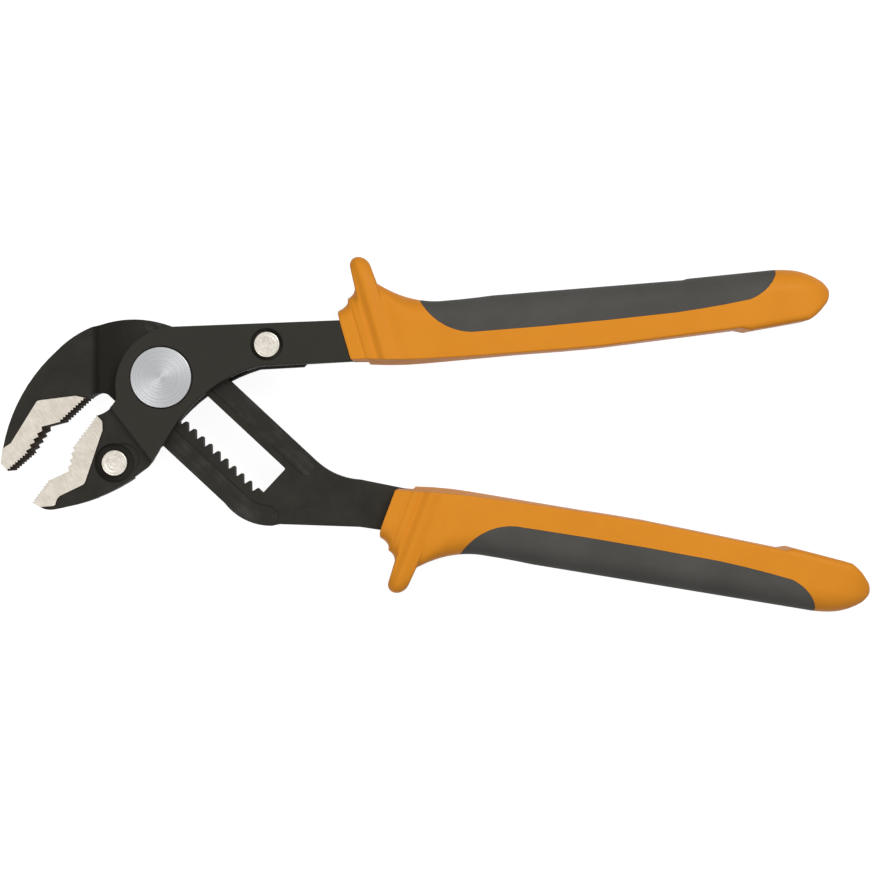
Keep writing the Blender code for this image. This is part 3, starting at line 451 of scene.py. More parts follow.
grainedFinish = {
    "oiled tooth steel": {
        "dark": tone(36, 29, 20),
        "light": tone(80, 60, 41),
        "toneRange": (0.38, 0.68),
        "cloudScale": 700.0,
        "cloudShare": 1.0,
        "grainScale": 5200.0,
        "grainDepth": 0.0,
        "roughness": (0.50, 0.70),
        "metallic": 0.0,
        "specular": 0.02,
    },
    "spring steel": {
        "dark": tone(128, 128, 130),
        "light": tone(176, 176, 178),
        "toneRange": noiseRange,
        "cloudScale": 1800.0,
        "cloudShare": 1.0,
        "grainScale": 9000.0,
        "grainDepth": 0.0,
        "roughness": (0.28, 0.42),
        "metallic": 1.0,
        "specular": 0.5,
    },
    "orange plastic": {
        "dark": tone(213, 134, 35),
        "light": tone(217, 138, 39),
        "toneRange": noiseRange,
        "cloudScale": 70.0,
        "cloudShare": 0.7,
        "grainScale": 2600.0,
        "grainDepth": 0.000008,
        "roughness": (0.40, 0.48),
        "metallic": 0.0,
        "specular": 0.07,
    },
    "grey soft plastic": {
        "dark": tone(73, 72, 69),
        "light": tone(82, 81, 78),
        "toneRange": noiseRange,
        "cloudScale": 70.0,
        "cloudShare": 0.7,
        "grainScale": 3600.0,
        "grainDepth": 0.00002,
        "roughness": (0.58, 0.68),
        "metallic": 0.0,
        "specular": 0.06,
    },
}


def makeGrained(name):
    finish = grainedFinish[name]
    made, tree, shader = startMaterial(name, finish["metallic"], finish["specular"])
    cloud, grain = placeGrain(tree, objectVector(tree), finish)
    mixed = weigh(tree, cloud, grain, finish["cloudShare"])
    colour = toneOf(tree, remap(tree, mixed, *finish["toneRange"]), finish)
    normal = bumpFrom(tree, grain, finish["grainDepth"]) if finish["grainDepth"] else None
    dress(tree, shader, colour, spread(tree, grain, *finish["roughness"]), normal)
    return made


blackSteel = makeBlackSteel()
channelSteel = makeChannelSteel()
groundSteel = makeGroundSteel()
turnedSteel = makeTurnedSteel()
toothSteel = makeGrained("oiled tooth steel")
springSteel = makeGrained("spring steel")
orangePlastic = makeGrained("orange plastic")
greyPlastic = makeGrained("grey soft plastic")
print("materials ready")


# meshes: shared steps

mergeDistance = 1e-6  # points nearer than this are one


def newObject(name, data):
    made = bpy.data.objects.new(name, data)
    scene.collection.objects.link(made)
    return made


def shapeOf(node):
    # an editable copy of a solid, with its loose triangles joined
    shape = bmesh.new()
    shape.from_mesh(nodes[node].data)
    bmesh.ops.remove_doubles(shape, verts=shape.verts, dist=mergeDistance)
    return shape


def keepShape(name, shape):
    # a finished shape as a new object
    mesh = bpy.data.meshes.new(name)
    shape.to_mesh(mesh)
    shape.free()
    return newObject(name, mesh)


def settle(piece):
    # replaces a piece's mesh by what its modifiers make of it
    graph = bpy.context.evaluated_depsgraph_get()
    mesh = bpy.data.meshes.new_from_object(piece.evaluated_get(graph))
    piece.modifiers.clear()
    piece.data = mesh


def smooth(piece, angle=35.0):
    piece.data.shade_smooth()
    piece.data.set_sharp_from_angle(angle=math.radians(angle))


def combine(piece, other, operation):
    step = piece.modifiers.new(operation.lower(), "BOOLEAN")
    step.operation = operation
    step.object = other
    step.solver = "EXACT"
    settle(piece)
    bpy.data.objects.remove(other)


def hand(piece, body, slot, *replaced):
    # gives a finished piece to its body and hides the solids that it stands for
    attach(piece, body)
    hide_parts(*replaced)


# forged levers and back plate: the solids with rounded edges and soft steps

forging = {
    "flat": math.radians(0.4),  # faces that turn less than this are one
    "sharp": math.radians(28.0),  # edges that turn more than this are borders
    "level": 0.00005,  # heights nearer than this are the same
    "upright": 0.1,  # a normal's Z below which a face stands upright
    "nearLevel": 0.9,  # a normal's Z above which a face lies level, or nearly so
    "levelFace": 0.99999,  # a normal's Z above which it is shaded flat
    "cheekRound": 0.00040,
    "jawRound": 0.00028,
    "boreRound": 0.00045,
    "boreReach": 0.0062,  # edges nearer than this to a rivet's axis are on its counterbore
    "armRound": 0.00022,
    "toothRound": 0.00007,
    "segments": 4,
    "roomShare": 0.42,  # of the width beside an edge that its rounding may take
    "taper": 0.03,  # change of the rounding along a border
    "leastChange": 1e-7,
    "tries": 12,
    "ease": 0.6,  # a rounding shrinks to this share where a face would cross itself
    "easeReach": 0.0008,
    "corners": 5,  # faces with fewer than this aren't tested for crossings
    "channelHeight": 0.0021,
    "slotReach": 0.0068,  # across the slot from the pivot axis
    "slotEnds": (-0.009, 0.0450),  # along the slot, from the pivot axis
    "cutReach": 4e-5,  # points nearer than this to a cut are on it
}
# steps between two levels of a forging: a line with the higher level on its left, and the slope's width
softSteps = {
    "main_lever": {
        "line": ((-0.0143, -0.0089), (-0.0034, -0.0232)),
        "levels": (0.0050, 0.0068),
        "band": (-0.0010, 0.0004),
        "rows": 10,
        "rear": False,
    },
    "rack_lever": {
        "line": ((-0.0193, -0.0055), (-0.0193, 0.0160)),
        "levels": (0.0025, 0.0050),
        "band": (-0.0012, 0.0012),
        "rows": 12,
        "rear": True,
    },
}
rivetCentres = [(low + high) / 2 for low, high in (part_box("jaw_rivet"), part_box("shank_rivet"))]
forgedFinishes = (blackSteel, groundSteel, toothSteel, channelSteel)
blackFace, padFace, toothWall, channelFloor = range(len(forgedFinishes))


def inSlot(place):
    # whether a point lies in the toothed slot of the rack lever
    first, last = forging["slotEnds"]
    return first < place.dot(slotWay) < last and abs(place.dot(acrossWay)) < forging["slotReach"]


def atLevel(height, level):
    return abs(height - level) < forging["level"]


def everything(shape):
    return shape.verts[:] + shape.edges[:] + shape.faces[:]


def softenStep(shape, step):
    # turns the upright wall along a line into a smooth slope between the two levels
    start, end = (Vector((*corner, 0.0)) for corner in step["line"])
    run = (end - start).normalized()
    left = Vector((-run.y, run.x, 0.0))
    foot, top = step["band"]
    low, high = step["levels"]
    for i in range(step["rows"] + 1):
        place = start + left * (foot + (top - foot) * i / step["rows"])
        cut = {"dist": forging["cutReach"], "plane_co": place, "plane_no": left}
        bmesh.ops.bisect_plane(shape, geom=everything(shape), **cut)
    for vertex in shape.verts:
        reach = (vertex.co - start).dot(left)
        height = vertex.co.z - midPlane
        if not foot - mergeDistance < reach < top + mergeDistance or (height < 0 and not step["rear"]):
            continue
        if atLevel(abs(height), low) or atLevel(abs(height), high):
            level = low + (high - low) * easing(clamp((reach - foot) / (top - foot)))
            vertex.co.z = midPlane + math.copysign(level, height)
    bmesh.ops.remove_doubles(shape, verts=shape.verts, dist=mergeDistance)
    bmesh.ops.dissolve_degenerate(shape, edges=shape.edges, dist=mergeDistance)


def edgeRound(edge, node):
    # the rounding of an edge between a level and an upright face, by its height above the mid-plane
    if len(edge.link_faces) != 2 or not edge.is_convex or edge.calc_face_angle(0.0) < forging["sharp"]:
        return 0.0
    if sum(abs(face.normal.z) < forging["upright"] for face in edge.link_faces) != 1:
        return 0.0
    middle = (edge.verts[0].co + edge.verts[1].co) / 2
    height = abs(middle.z - midPlane)
    for centre in rivetCentres:
        first, second = ((vertex.co - centre).xy.length for vertex in edge.verts)
        onBore = max(first, second) < forging["boreReach"] and abs(first - second) < forging["level"]
        if onBore and node != "rack_lever":
            return forging["boreRound"]
    if atLevel(height, cheekHeight):
        return forging["cheekRound"]
    if atLevel(height, padHeight):
        return forging["toothRound"]
    if height > padHeight / 2:
        return forging["jawRound"]
    if node == "rack_lever" and inSlot(middle):
        return forging["toothRound"]
    return forging["armRound"]


def roomBeside(edge, borders):
    # the free width of the level face beside an edge, up to the next border across it
    loop = next(loop for loop in edge.link_loops if abs(loop.face.normal.z) >= forging["upright"])
    start, end = loop.vert.co, loop.link_loop_next.vert.co
    run = (end - start).normalized()
    inward = loop.face.normal.cross(run)
    middle = (start + end) / 2
    room = math.inf
    for other in borders:
        if other is edge or abs(other.verts[0].co.z - middle.z) > forging["level"]:
            continue
        first, second = (vertex.co - middle for vertex in other.verts)
        before, after = first.dot(run), second.dot(run)
        if before * after < 0:
            share = before / (before - after)
            reach = first.dot(inward) * (1 - share) + second.dot(inward) * share
            if mergeDistance < reach < room:
                room = reach
    return room


def taper(rounds):
    # lets the rounding change only slowly from edge to edge along a border
    waiting = sorted(rounds, key=rounds.get)
    while waiting:
        edge = waiting.pop(0)
        for vertex in edge.verts:
            arriving = edge.other_vert(vertex).co - vertex.co
            for other in vertex.link_edges:
                if other is edge or other not in rounds:
                    continue
                limit = rounds[edge] + forging["taper"] * (edge.calc_length() + other.calc_length()) / 2
                bend = arriving.angle(vertex.co - other.other_vert(vertex).co, 0.0)
                if bend < forging["sharp"] and rounds[other] > limit + forging["leastChange"]:
                    rounds[other] = limit
                    waiting.append(other)


def tangles(piece):
    # the places where the border of a level face crosses itself after the rounding
    finished = piece.evaluated_get(bpy.context.evaluated_depsgraph_get())
    mesh = finished.to_mesh()
    places = []
    for polygon in mesh.polygons:
        if abs(polygon.normal.z) < forging["nearLevel"] or len(polygon.vertices) < forging["corners"]:
            continue
        corners = [mesh.vertices[index].co.copy() for index in polygon.vertices]
        sides = list(zip(corners, corners[1:] + corners[:1]))
        for i, (start, end) in enumerate(sides):
            low, high = sorted((start.x, end.x))
            for first, second in sides[i + 2:len(sides) - (i == 0)]:  # none that shares a corner with it
                if max(first.x, second.x) < low or min(first.x, second.x) > high:
                    continue
                meeting = geometry.intersect_line_line_2d(start.xy, end.xy, first.xy, second.xy)
                if meeting:
                    places.append(Vector((*meeting, start.z)))
    finished.to_mesh_clear()
    return places


def nearEdge(edge, place):
    start, end = (vertex.co for vertex in edge.verts)
    share = geometry.intersect_point_line(place, start, end)[1]
    return (start.lerp(end, clamp(share)) - place).length < forging["easeReach"]


def faceFinish(face, node):
    # which of the forged finishes a face has
    heights = [abs(vertex.co.z - midPlane) for vertex in face.verts]
    flat = abs(face.normal.z) > forging["nearLevel"]
    if node == "back_plate":
        return blackFace
    if flat and atLevel(max(heights), padHeight):
        return padFace
    if not flat and any(atLevel(height, padHeight) for height in heights):
        return toothWall
    if flat and node == "rack_lever" and atLevel(max(heights), forging["channelHeight"]):
        return channelFloor
    return blackFace


def forgedShape(node):
    # the solid in whole faces, with its soft step and the finish of each face
    shape = shapeOf(node)
    bmesh.ops.dissolve_limit(shape, angle_limit=forging["flat"], verts=shape.verts, edges=shape.edges)
    if node in softSteps:
        softenStep(shape, softSteps[node])
    for face in shape.faces:
        face.material_index = faceFinish(face, node)
    return shape


def forgedCopy(name, node, body):
    shape = forgedShape(node)
    weights = shape.edges.layers.float.new("bevel_weight_edge")
    borders = [edge for edge in shape.edges if edge.calc_face_angle(0.0) > forging["sharp"]]
    rounds = {edge: edgeRound(edge, node) for edge in shape.edges}
    rounds = {edge: size for edge, size in rounds.items() if size > 0}
    for edge in rounds:
        rounds[edge] = min(rounds[edge], forging["roomShare"] * roomBeside(edge, borders))
    mesh = bpy.data.meshes.new(name)
    for finish in forgedFinishes:
        mesh.materials.append(finish)
    piece = newObject(name, mesh)
    rounding = piece.modifiers.new("rounding", "BEVEL")
    rounding.limit_method = "WEIGHT"
    rounding.width = forging["boreRound"]
    rounding.segments = forging["segments"]
    rounding.use_clamp_overlap = False
    rounding.material = -1
    for _ in range(forging["tries"]):
        taper(rounds)
        for edge, size in rounds.items():
            edge[weights] = size / forging["boreRound"]
        shape.to_mesh(mesh)
        crossings = tangles(piece)
        if not crossings:
            break
        for edge in rounds:
            if any(nearEdge(edge, place) for place in crossings):
                rounds[edge] *= forging["ease"]
    shape.free()
    settle(piece)
    smooth(piece)
    for polygon in piece.data.polygons:
        if abs(polygon.normal.z) > forging["levelFace"]:
            polygon.use_smooth = False
    hand(piece, body, "black_steel", node)
    print(name, "forged:", len(piece.data.polygons), "faces, crossings left:", len(crossings))


forgedCopy("mainLever", "main_lever", "main")
forgedCopy("backPlate", "back_plate", "main")
forgedCopy("rackLever", "rack_lever", "rack")


# turned pieces: one tree of geometry nodes for the pivot discs and the rivets

intSocket = "NodeSocketInt"
materialSocket = "NodeSocketMaterial"
geometrySockets = [("Geometry", "NodeSocketGeometry")]
# where the rows of a turned piece begin its face, rim, wall, underside and shank, and where they end
turnedLegs = (0.0, 0.72, 0.82, 0.88, 0.94, 1.0)


def endTree(tree, last, given, result):
    # makes plain geometry of what a tree has built, with its material
    realized = addNode(tree, "GeometryNodeRealizeInstances", {"Geometry": last.outputs[0]})
    values = {"Geometry": realized.outputs[0], "Material": given["Material"]}
    feed(tree, result["Geometry"], addNode(tree, "GeometryNodeSetMaterial", values).outputs[0])


def makeTurnedTree():
    # A grid is bent round the Z axis. Its rows follow the profile from the front face over the rim and
    # the shank to the rear face, and both ends are alike.
    sizes = ("Radius", "Head", "Shank", "Length", "Rim", "Dome", "Rings", "Ring Depth")
    inputs = [(label, floatSocket) for label in sizes]
    inputs += [("Segments", intSocket), ("Rows", intSocket), ("Material", materialSocket)]
    tree, given, result = newGroup("GeometryNodeTree", "turned piece", inputs, geometrySockets)

    def times(first, second):
        return calc(tree, "MULTIPLY", first, second)

    def less(first, second):
        return calc(tree, "SUBTRACT", first, second)

    counts = {"Vertices X": given["Segments"], "Vertices Y": given["Rows"]}
    grid = addNode(tree, "GeometryNodeMeshGrid", {"Size X": 1.0, "Size Y": 1.0, **counts}).outputs["Mesh"]
    position = addNode(tree, "GeometryNodeInputPosition").outputs[0]
    around, along, _ = addNode(tree, "ShaderNodeSeparateXYZ", {"Vector": position}).outputs
    turn = times(around, 2 * math.pi)
    side = calc(tree, "SIGN", along)
    way = less(1.0, times(calc(tree, "ABSOLUTE", along), 2.0))
    legs = []
    for low, high in zip(turnedLegs, turnedLegs[1:]):
        legs.append(calc(tree, "DIVIDE", less(way, low), high - low, clamped=True))
    face, rim, wall, under, shank = legs
    quarter = times(rim, math.pi / 2)
    reach = times(face, less(given["Radius"], given["Rim"]))
    reach = calc(tree, "ADD", reach, times(given["Rim"], calc(tree, "SINE", quarter)))
    reach = less(reach, times(under, less(given["Radius"], given["Shank"])))
    half = times(given["Length"], 0.5)
    wave = calc(tree, "COSINE", times(times(face, given["Rings"]), 2 * math.pi))
    height = half
    for loss in (
        times(given["Rim"], less(1.0, calc(tree, "COSINE", quarter))),  # over the rim
        times(wall, less(given["Head"], given["Rim"])),  # down the wall
        times(shank, less(half, given["Head"])),  # along the shank
        times(less(1.0, wave), times(given["Ring Depth"], 0.5)),  # in the rings of the face
        times(times(times(face, face), given["Dome"]), less(1.0, shank)),  # by the dome of the face
    ):
        height = less(height, loss)
    bend = {
        "X": times(reach, calc(tree, "COSINE", turn)),
        "Y": times(reach, calc(tree, "SINE", turn)),
        "Z": times(side, height),
    }
    place = addNode(tree, "ShaderNodeCombineXYZ", bend).outputs[0]
    bent = addNode(tree, "GeometryNodeSetPosition", {"Geometry": grid, "Position": place}).outputs[0]
    closed = addNode(tree, "GeometryNodeMergeByDistance", {"Geometry": bent, "Distance": mergeDistance})
    endTree(tree, closed, given, result)
    return tree


def runTree(name, tree, values, place):
    # one run of a tree, kept as a plain mesh with its place in the vertices
    piece = newObject(name, bpy.data.meshes.new(name))
    step = piece.modifiers.new("nodes", "NODES")
    step.node_group = tree
    for socket in tree.interface.items_tree:
        if socket.in_out == "INPUT" and socket.name in values:
            step[socket.identifier] = values[socket.name]
    settle(piece)
    shape = bmesh.new()
    shape.from_mesh(piece.data)
    bmesh.ops.recalc_face_normals(shape, faces=shape.faces)
    shape.to_mesh(piece.data)
    shape.free()
    piece.data.transform(Matrix.Translation(place))
    return piece


turnedTree = makeTurnedTree()


def turnPiece(name, settings, finish, place, **sizes):
    values = {
        **sizes,
        "Rim": settings["rim"],
        "Dome": settings["dome"],
        "Rings": settings["rings"],
        "Ring Depth": settings["ringDepth"],
        "Segments": settings["segments"],
        "Rows": settings["rows"],
        "Material": finish,
    }
    return runTree(name, turnedTree, values, place)


disc = {
    "rim": 0.0003,
    "dome": 0.00012,
    "rings": 9.0,
    "ringDepth": 0.00002,
    "segments": 97,
    "rows": 201,
    "sunk": 0.0004,  # how far the block goes into the front disc
    "spigotGap": 0.0001,
    "spigotSegments": 48,
}
nutLow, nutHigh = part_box("pivot_nut")
pivotRadius = (nutHigh.x - nutLow.x) / 2
discThickness = nutHigh.z - nutLow.z


def makeDisc(name, middle):
    heights = {"Head": discThickness / 2, "Length": discThickness}
    widths = {"Radius": pivotRadius, "Shank": pivotRadius}
    return turnPiece(name, disc, turnedSteel, (0, 0, middle), **heights, **widths)


def makePivotBolt():
    # front disc, on the block and the two spigots of the solid
    piece = makeDisc("pivotBolt", frontFace - discThickness / 2)
    shape = shapeOf("pivot_bolt")
    cut = {"plane_co": (0, 0, frontFace - discThickness + disc["sunk"]), "plane_no": (0, 0, 1)}
    bmesh.ops.bisect_plane(shape, geom=everything(shape), clear_outer=True, **cut)
    bmesh.ops.holes_fill(shape, edges=[edge for edge in shape.edges if edge.is_boundary])
    shape.from_mesh(piece.data)
    shape.to_mesh(piece.data)
    shape.free()
    smooth(piece)
    hand(piece, "pivot", "turned_steel", "pivot_bolt")


def makePivotNut():
    # rear disc, with the riveted ends of the two spigots let into it
    middle = rearFace + discThickness / 2
    piece = makeDisc("pivotNut", middle)
    ends = [vertex.co for vertex in nodes["pivot_bolt"].data.vertices if vertex.co.z < middle]
    for side in (-1, 1):
        ring = [place for place in ends if place.dot(slotWay) * side > 0]
        centre = sum(ring, Vector()) / len(ring)
        radius = max((place - centre).xy.length for place in ring) + disc["spigotGap"]
        sizes = {"segments": disc["spigotSegments"], "radius1": radius, "radius2": radius}
        cutter = bmesh.new()
        bmesh.ops.create_cone(cutter, cap_ends=True, depth=4 * discThickness, **sizes)
        hole = keepShape("spigotHole", cutter)
        hole.data.transform(Matrix.Translation((centre.x, centre.y, rearFace)))
        combine(piece, hole, "DIFFERENCE")
    smooth(piece)
    hand(piece, "pivot", "turned_steel", "pivot_nut")


rivet = {
    "headHeight": 0.0012,
    "shank": 0.0025,
    "rim": 0.00035,
    "dome": 0.00016,
    "rings": 3.0,
    "ringDepth": 0.00003,
    "segments": 73,
    "rows": 121,
}


def makeRivet(name, node):
    low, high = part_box(node)
    middle = (low + high) / 2
    finish = makeRivetSteel(node.replace("_", " ") + " steel", middle)
    sizes = {"Radius": (high.x - low.x) / 2, "Length": high.z - low.z}
    piece = turnPiece(name, rivet, finish, middle, Head=rivet["headHeight"], Shank=rivet["shank"], **sizes)
    smooth(piece)
    hand(piece, "main", "rivet_steel", node)


makePivotBolt()
makePivotNut()
makeRivet("jawRivet", "jaw_rivet")
makeRivet("shankRivet", "shank_rivet")
print("pivot discs and rivets turned")


# pawl and its springs

spring = {"wire": 0.00035, "turns": 5.0, "turnPoints": 28, "wirePoints": 10, "smooth": 60.0, "keep": 0.45}
pawl = {"sharp": math.radians(40.0), "segments": 2}


def makeSpringTree():
    # a coil between two seats, set at two places in line
    inputs = [(label, floatSocket) for label in ("Radius", "Wire", "Height", "Turns")]
    inputs += [("Places Apart", vectorSocket), ("Coil Turn", "NodeSocketRotation")]
    inputs += [("Material", materialSocket)]
    tree, given, result = newGroup("GeometryNodeTree", "coil springs", inputs, geometrySockets)
    coil = {
        "Resolution": spring["turnPoints"],
        "Rotations": given["Turns"],
        "Start Radius": given["Radius"],
        "End Radius": given["Radius"],
        "Height": given["Height"],
    }
    spiral = addNode(tree, "GeometryNodeCurveSpiral", coil).outputs[0]
    wire = {"Resolution": spring["wirePoints"], "Radius": calc(tree, "MULTIPLY", given["Wire"], 0.5)}
    ring = addNode(tree, "GeometryNodeCurvePrimitiveCircle", wire).outputs[0]
    drawn = {"Curve": spiral, "Profile Curve": ring, "Fill Caps": True}
    tube = addNode(tree, "GeometryNodeCurveToMesh", drawn).outputs[0]
    row = addNode(tree, "GeometryNodeMeshLine", {"Count": 2, "Offset": given["Places Apart"]}).outputs[0]
    placed = {"Points": row, "Instance": tube, "Rotation": given["Coil Turn"]}
    endTree(tree, addNode(tree, "GeometryNodeInstanceOnPoints", placed), given, result)
    return tree


def springForm(node):
    # the middle of a spring's lower end, its height and its radius, from the places of its solid
    places = [vertex.co for vertex in nodes[node].data.vertices]
    heights = [place.dot(acrossWay) for place in places]
    along = [place.dot(slotWay) for place in places]
    middle = (min(along) + max(along)) / 2
    start = slotWay * middle + acrossWay * (min(heights) + spring["wire"] / 2) + Vector((0, 0, midPlane))
    height = max(heights) - min(heights) - spring["wire"]
    width = max(along) - min(along) - spring["wire"]
    return start, height, width / 2


def makeSprings():
    upperStart, height, radius = springForm("pawl_spring_upper")
    lowerStart = springForm("pawl_spring_lower")[0]
    values = {
        "Radius": radius,
        "Wire": spring["wire"],
        "Height": height,
        "Turns": spring["turns"],
        "Places Apart": lowerStart - upperStart,
        "Coil Turn": Vector((0, 0, 1)).rotation_difference(acrossWay).to_euler(),
        "Material": springSteel,
    }
    piece = runTree("pawlSprings", makeSpringTree(), values, upperStart)
    smooth(piece, spring["smooth"])
    hand(piece, "pivot", "spring_steel", "pawl_spring_upper", "pawl_spring_lower")
    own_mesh(piece)


def makePawl():
    # the ratchet pawl keeps its form, with softened edges
    shape = shapeOf("ratchet_pawl")
    bmesh.ops.dissolve_limit(shape, angle_limit=forging["flat"], verts=shape.verts, edges=shape.edges)
    piece = keepShape("ratchetPawl", shape)
    piece.data.materials.append(springSteel)
    rounding = piece.modifiers.new("rounding", "BEVEL")
    rounding.limit_method = "ANGLE"
    rounding.angle_limit = pawl["sharp"]
    rounding.width = forging["toothRound"]
    rounding.segments = pawl["segments"]
    settle(piece)
    smooth(piece)
    hand(piece, "pawl", "spring_steel", "ratchet_pawl")


makeSprings()
makePawl()
print("pawl and springs made")


# grips: fine lofts of slanted sections, with the soft insert let into the outer side

# along the handle, a grip begins at the collar's end; across it, the inner edge is below 0
grip = {
    "inner": 0.0099,
    "outer": 0.0083,
    "round": 0.0065,  # depth of the rounded outer side
    "front": 0.0080,  # height of the front above the mid-plane, near the end
    "slant": math.tan(math.radians(11.6)),
    "bare": 0.0062,  # length of the collar whose inner side is open for the tang
    "nose": 0.00175,  # place of the tip, across
    "noseLength": 0.0140,
    "noseBeyond": 0.0004,  # how far past the tip the nose's front would meet its back
    "notchFromEnd": 0.0290,
    "collarEnd": 0.0180,
    "collarOuter": 0.0075,
    "band": 0.0035,
    "guard": (0.0070, 0.0126),
    "guardRise": 0.0227,
    "arcStep": math.radians(3.0),
    "collarStep": 0.00016,
    "bodyStep": 0.0012,
    "leastStep": 0.0001,
    "noseSteps": 26,
    "leastWidth": 0.0008,
    "leastHalf": 0.0006,
    "edgeOfHalf": 0.35,  # the most that an edge takes of a section's half height
    "edgeOfWidth": 0.2,  # the most that an edge or the draft takes of its width
    "shoulder": 0.6,  # the most of its width that lies below the rounded outer side
    "lipLength": 0.0015,
    "lipRise": 0.0030,  # the lip begins this far above the mid-plane and is full after as much again
    "steps": {"wall": 6, "edge": 6, "face": 8, "round": 20},
    "seam": 0.00004,  # gap round the insert
    "smooth": 30.0,
    "cutHalf": 0.02,  # half the thickness of a prism that cuts right through
    "cutBeyond": 0.01,  # how far it stands out past the grip
}
# front height along the collar: two bands, the ridge of the guard and the grooves between them
collarFront = (
    (-0.0004, 0.00695),
    (0.0003, 0.00712),
    (0.0030, 0.00718),
    (0.0037, 0.00702),
    (0.0047, 0.00746),
    (0.0062, 0.00758),
    (0.0069, 0.00730),
    (0.0096, 0.00858),
    (0.0137, 0.00774),
    (0.0165, 0.00800),
    (0.0600, 0.00760),
)
insert = {"start": 0.0222, "endMargin": 0.0156, "reach": 0.0021, "thickness": 0.0022}
tang = {"inner": 0.0046, "outer": 0.0024, "length": 0.0950, "half": 0.0025, "gap": 0.0003}
handles = {
    "upper": {
        "collar": (0.0526, 0.0121),
        "angle": 4.68,
        "side": 1,
        "body": "main",
        "length": 0.1405,
        "overlap": 0.00036,
        "lip": 0.0,
        "nick": ((0.1016, 0.0086), (0.1002, 0.0083)),
    },
    "lower": {
        "collar": (0.0651, -0.0390),
        "angle": -8.9,
        "side": -1,
        "body": "rack",
        "length": 0.1410,
        "overlap": 0.00027,
        "lip": 0.00035,
        "nick": (),
    },
}


def arc(start, end, rise):
    # points after start on an arc to end, with a positive rise bulging to the right of travel
    chord = end - start
    half = chord.length / 2
    radius = (half * half + rise * rise) / (2 * abs(rise))
    side = math.copysign(1.0, rise)
    right = Vector((chord.y, -chord.x)).normalized() * side
    centre = start + chord / 2 + right * (abs(rise) - radius)
    sweep = 2 * math.asin(min(1.0, half / radius))
    if abs(rise) > half:
        sweep = 2 * math.pi - sweep
    steps = max(3, math.ceil(sweep / grip["arcStep"]))
    spoke = start - centre
    return [centre + Matrix.Rotation(side * sweep / steps * i, 2) @ spoke for i in range(1, steps)] + [end]


def trace(corners):
    # an outline from corners, with a third value where an arc leads to the corner
    points = [Vector(corners[0][:2])]
    for corner in corners[1:]:
        end = Vector(corner[:2])
        points += arc(points[-1], end, corner[2]) if len(corner) == 3 else [end]
    return points


def heightAt(line, place, soft=False):
    # the height of a line of points at a place. A soft line is level at every point.
    for low, high in zip(line, line[1:]):
        if low[0] <= place <= high[0] and high[0] > low[0]:
            share = (place - low[0]) / (high[0] - low[0])
            return low[1] + (high[1] - low[1]) * (easing(share) if soft else share)
    return line[0][1] if place < line[0][0] else line[-1][1]


def gripForm(handle):
    # how a grip changes along its handle: edges, front height, draft of the inner wall and rounding
    length = handle["length"]
    start = -handle["overlap"]
    notch = length - grip["notchFromEnd"]
    inner, outer, nose, bare = (grip[name] for name in ("inner", "outer", "nose", "bare"))
    guardStart, guardEnd = grip["guard"]
    guardHalf = (guardEnd - guardStart) / 2
    guardSide = grip["guardRise"] - guardHalf
    collar = grip["collarOuter"]
    band = grip["band"]
    form = {"length": length, "start": start}
    form["inner"] = trace(
        [
            (start, -0.0072),  # bare end of the collar
            (start + 0.0005, -0.0077),
            (bare - 0.0021, -0.0081),
            (bare - 0.0017, -inner + 0.0012),  # body
            (0.0200, -inner + 0.0002, 0.0003),
            (length - 0.0695, -inner + 0.0007),
            (notch - 0.0006, -inner + 0.0026),  # notch
            (notch + 0.0006, -inner + 0.0025, -0.0001),
            (notch + 0.0023, -inner + 0.0019),
            (notch + 0.0035, -inner + 0.0019, 0.0001),
            (length - 0.0088, -inner + 0.0035),  # nose
            (length - 0.0027, nose - 0.0042, 0.0003),
            (length, nose, 0.0005),
        ]
    )
    form["outer"] = trace(
        [
            (length, nose),  # nose
            (length - 0.0011, nose + 0.0029, 0.00025),
            (length - 0.0089, outer + 0.0003, 0.00065),
            (length - 0.0140, outer + 0.0008, 0.0001),  # body
            *handle["nick"],
            (0.0450, outer + 0.0001),
            (0.0310, outer - 0.0003, -0.0001),
            (guardEnd + 0.0006, grip["guardRise"] - 0.0083, -0.0018),  # guard
            (guardEnd + 0.0002, guardSide - 0.0004),
            (guardStart - 0.0001, guardSide, guardHalf),
            (guardStart - 0.0005, collar + 0.0060),  # bands of the collar
            (band + 0.0004, collar + 0.0034, -0.0004),
            (band, collar + 0.0028, 0.0001),
            (band - 0.0002, collar + 0.0021),
            (start + 0.0006, collar + 0.0001, -0.0003),
            (start, collar - 0.0006, 0.0001),
        ]
    )[::-1]
    front = grip["front"]
    form["front"] = collarFront + ((length - 0.0260, front), (length - grip["noseLength"], front))
    form["edge"] = (
        (start, 0.0003),
        (0.0200, 0.0004),
        (0.0700, 0.0006),
        (notch, 0.0009),
        (notch + 0.0028, 0.0019),
    )
    form["draft"] = (
        (start, 0.0002),
        (0.0004, 0.00060),
        (bare - 0.0021, 0.00075),
        (bare - 0.0017, 0.00130),
        (0.0130, 0.00125),
        (0.0330, 0.00055),
        (0.0600, 0.0001),
        (notch, 0.0),
    )
    form["fullness"] = (
        (start, 2.6),
        (0.0055, 3.0),
        (0.0068, 4.0),
        (0.0130, 4.0),
        (0.0200, 2.2),
        (0.0450, 2.0),
    )
    return form


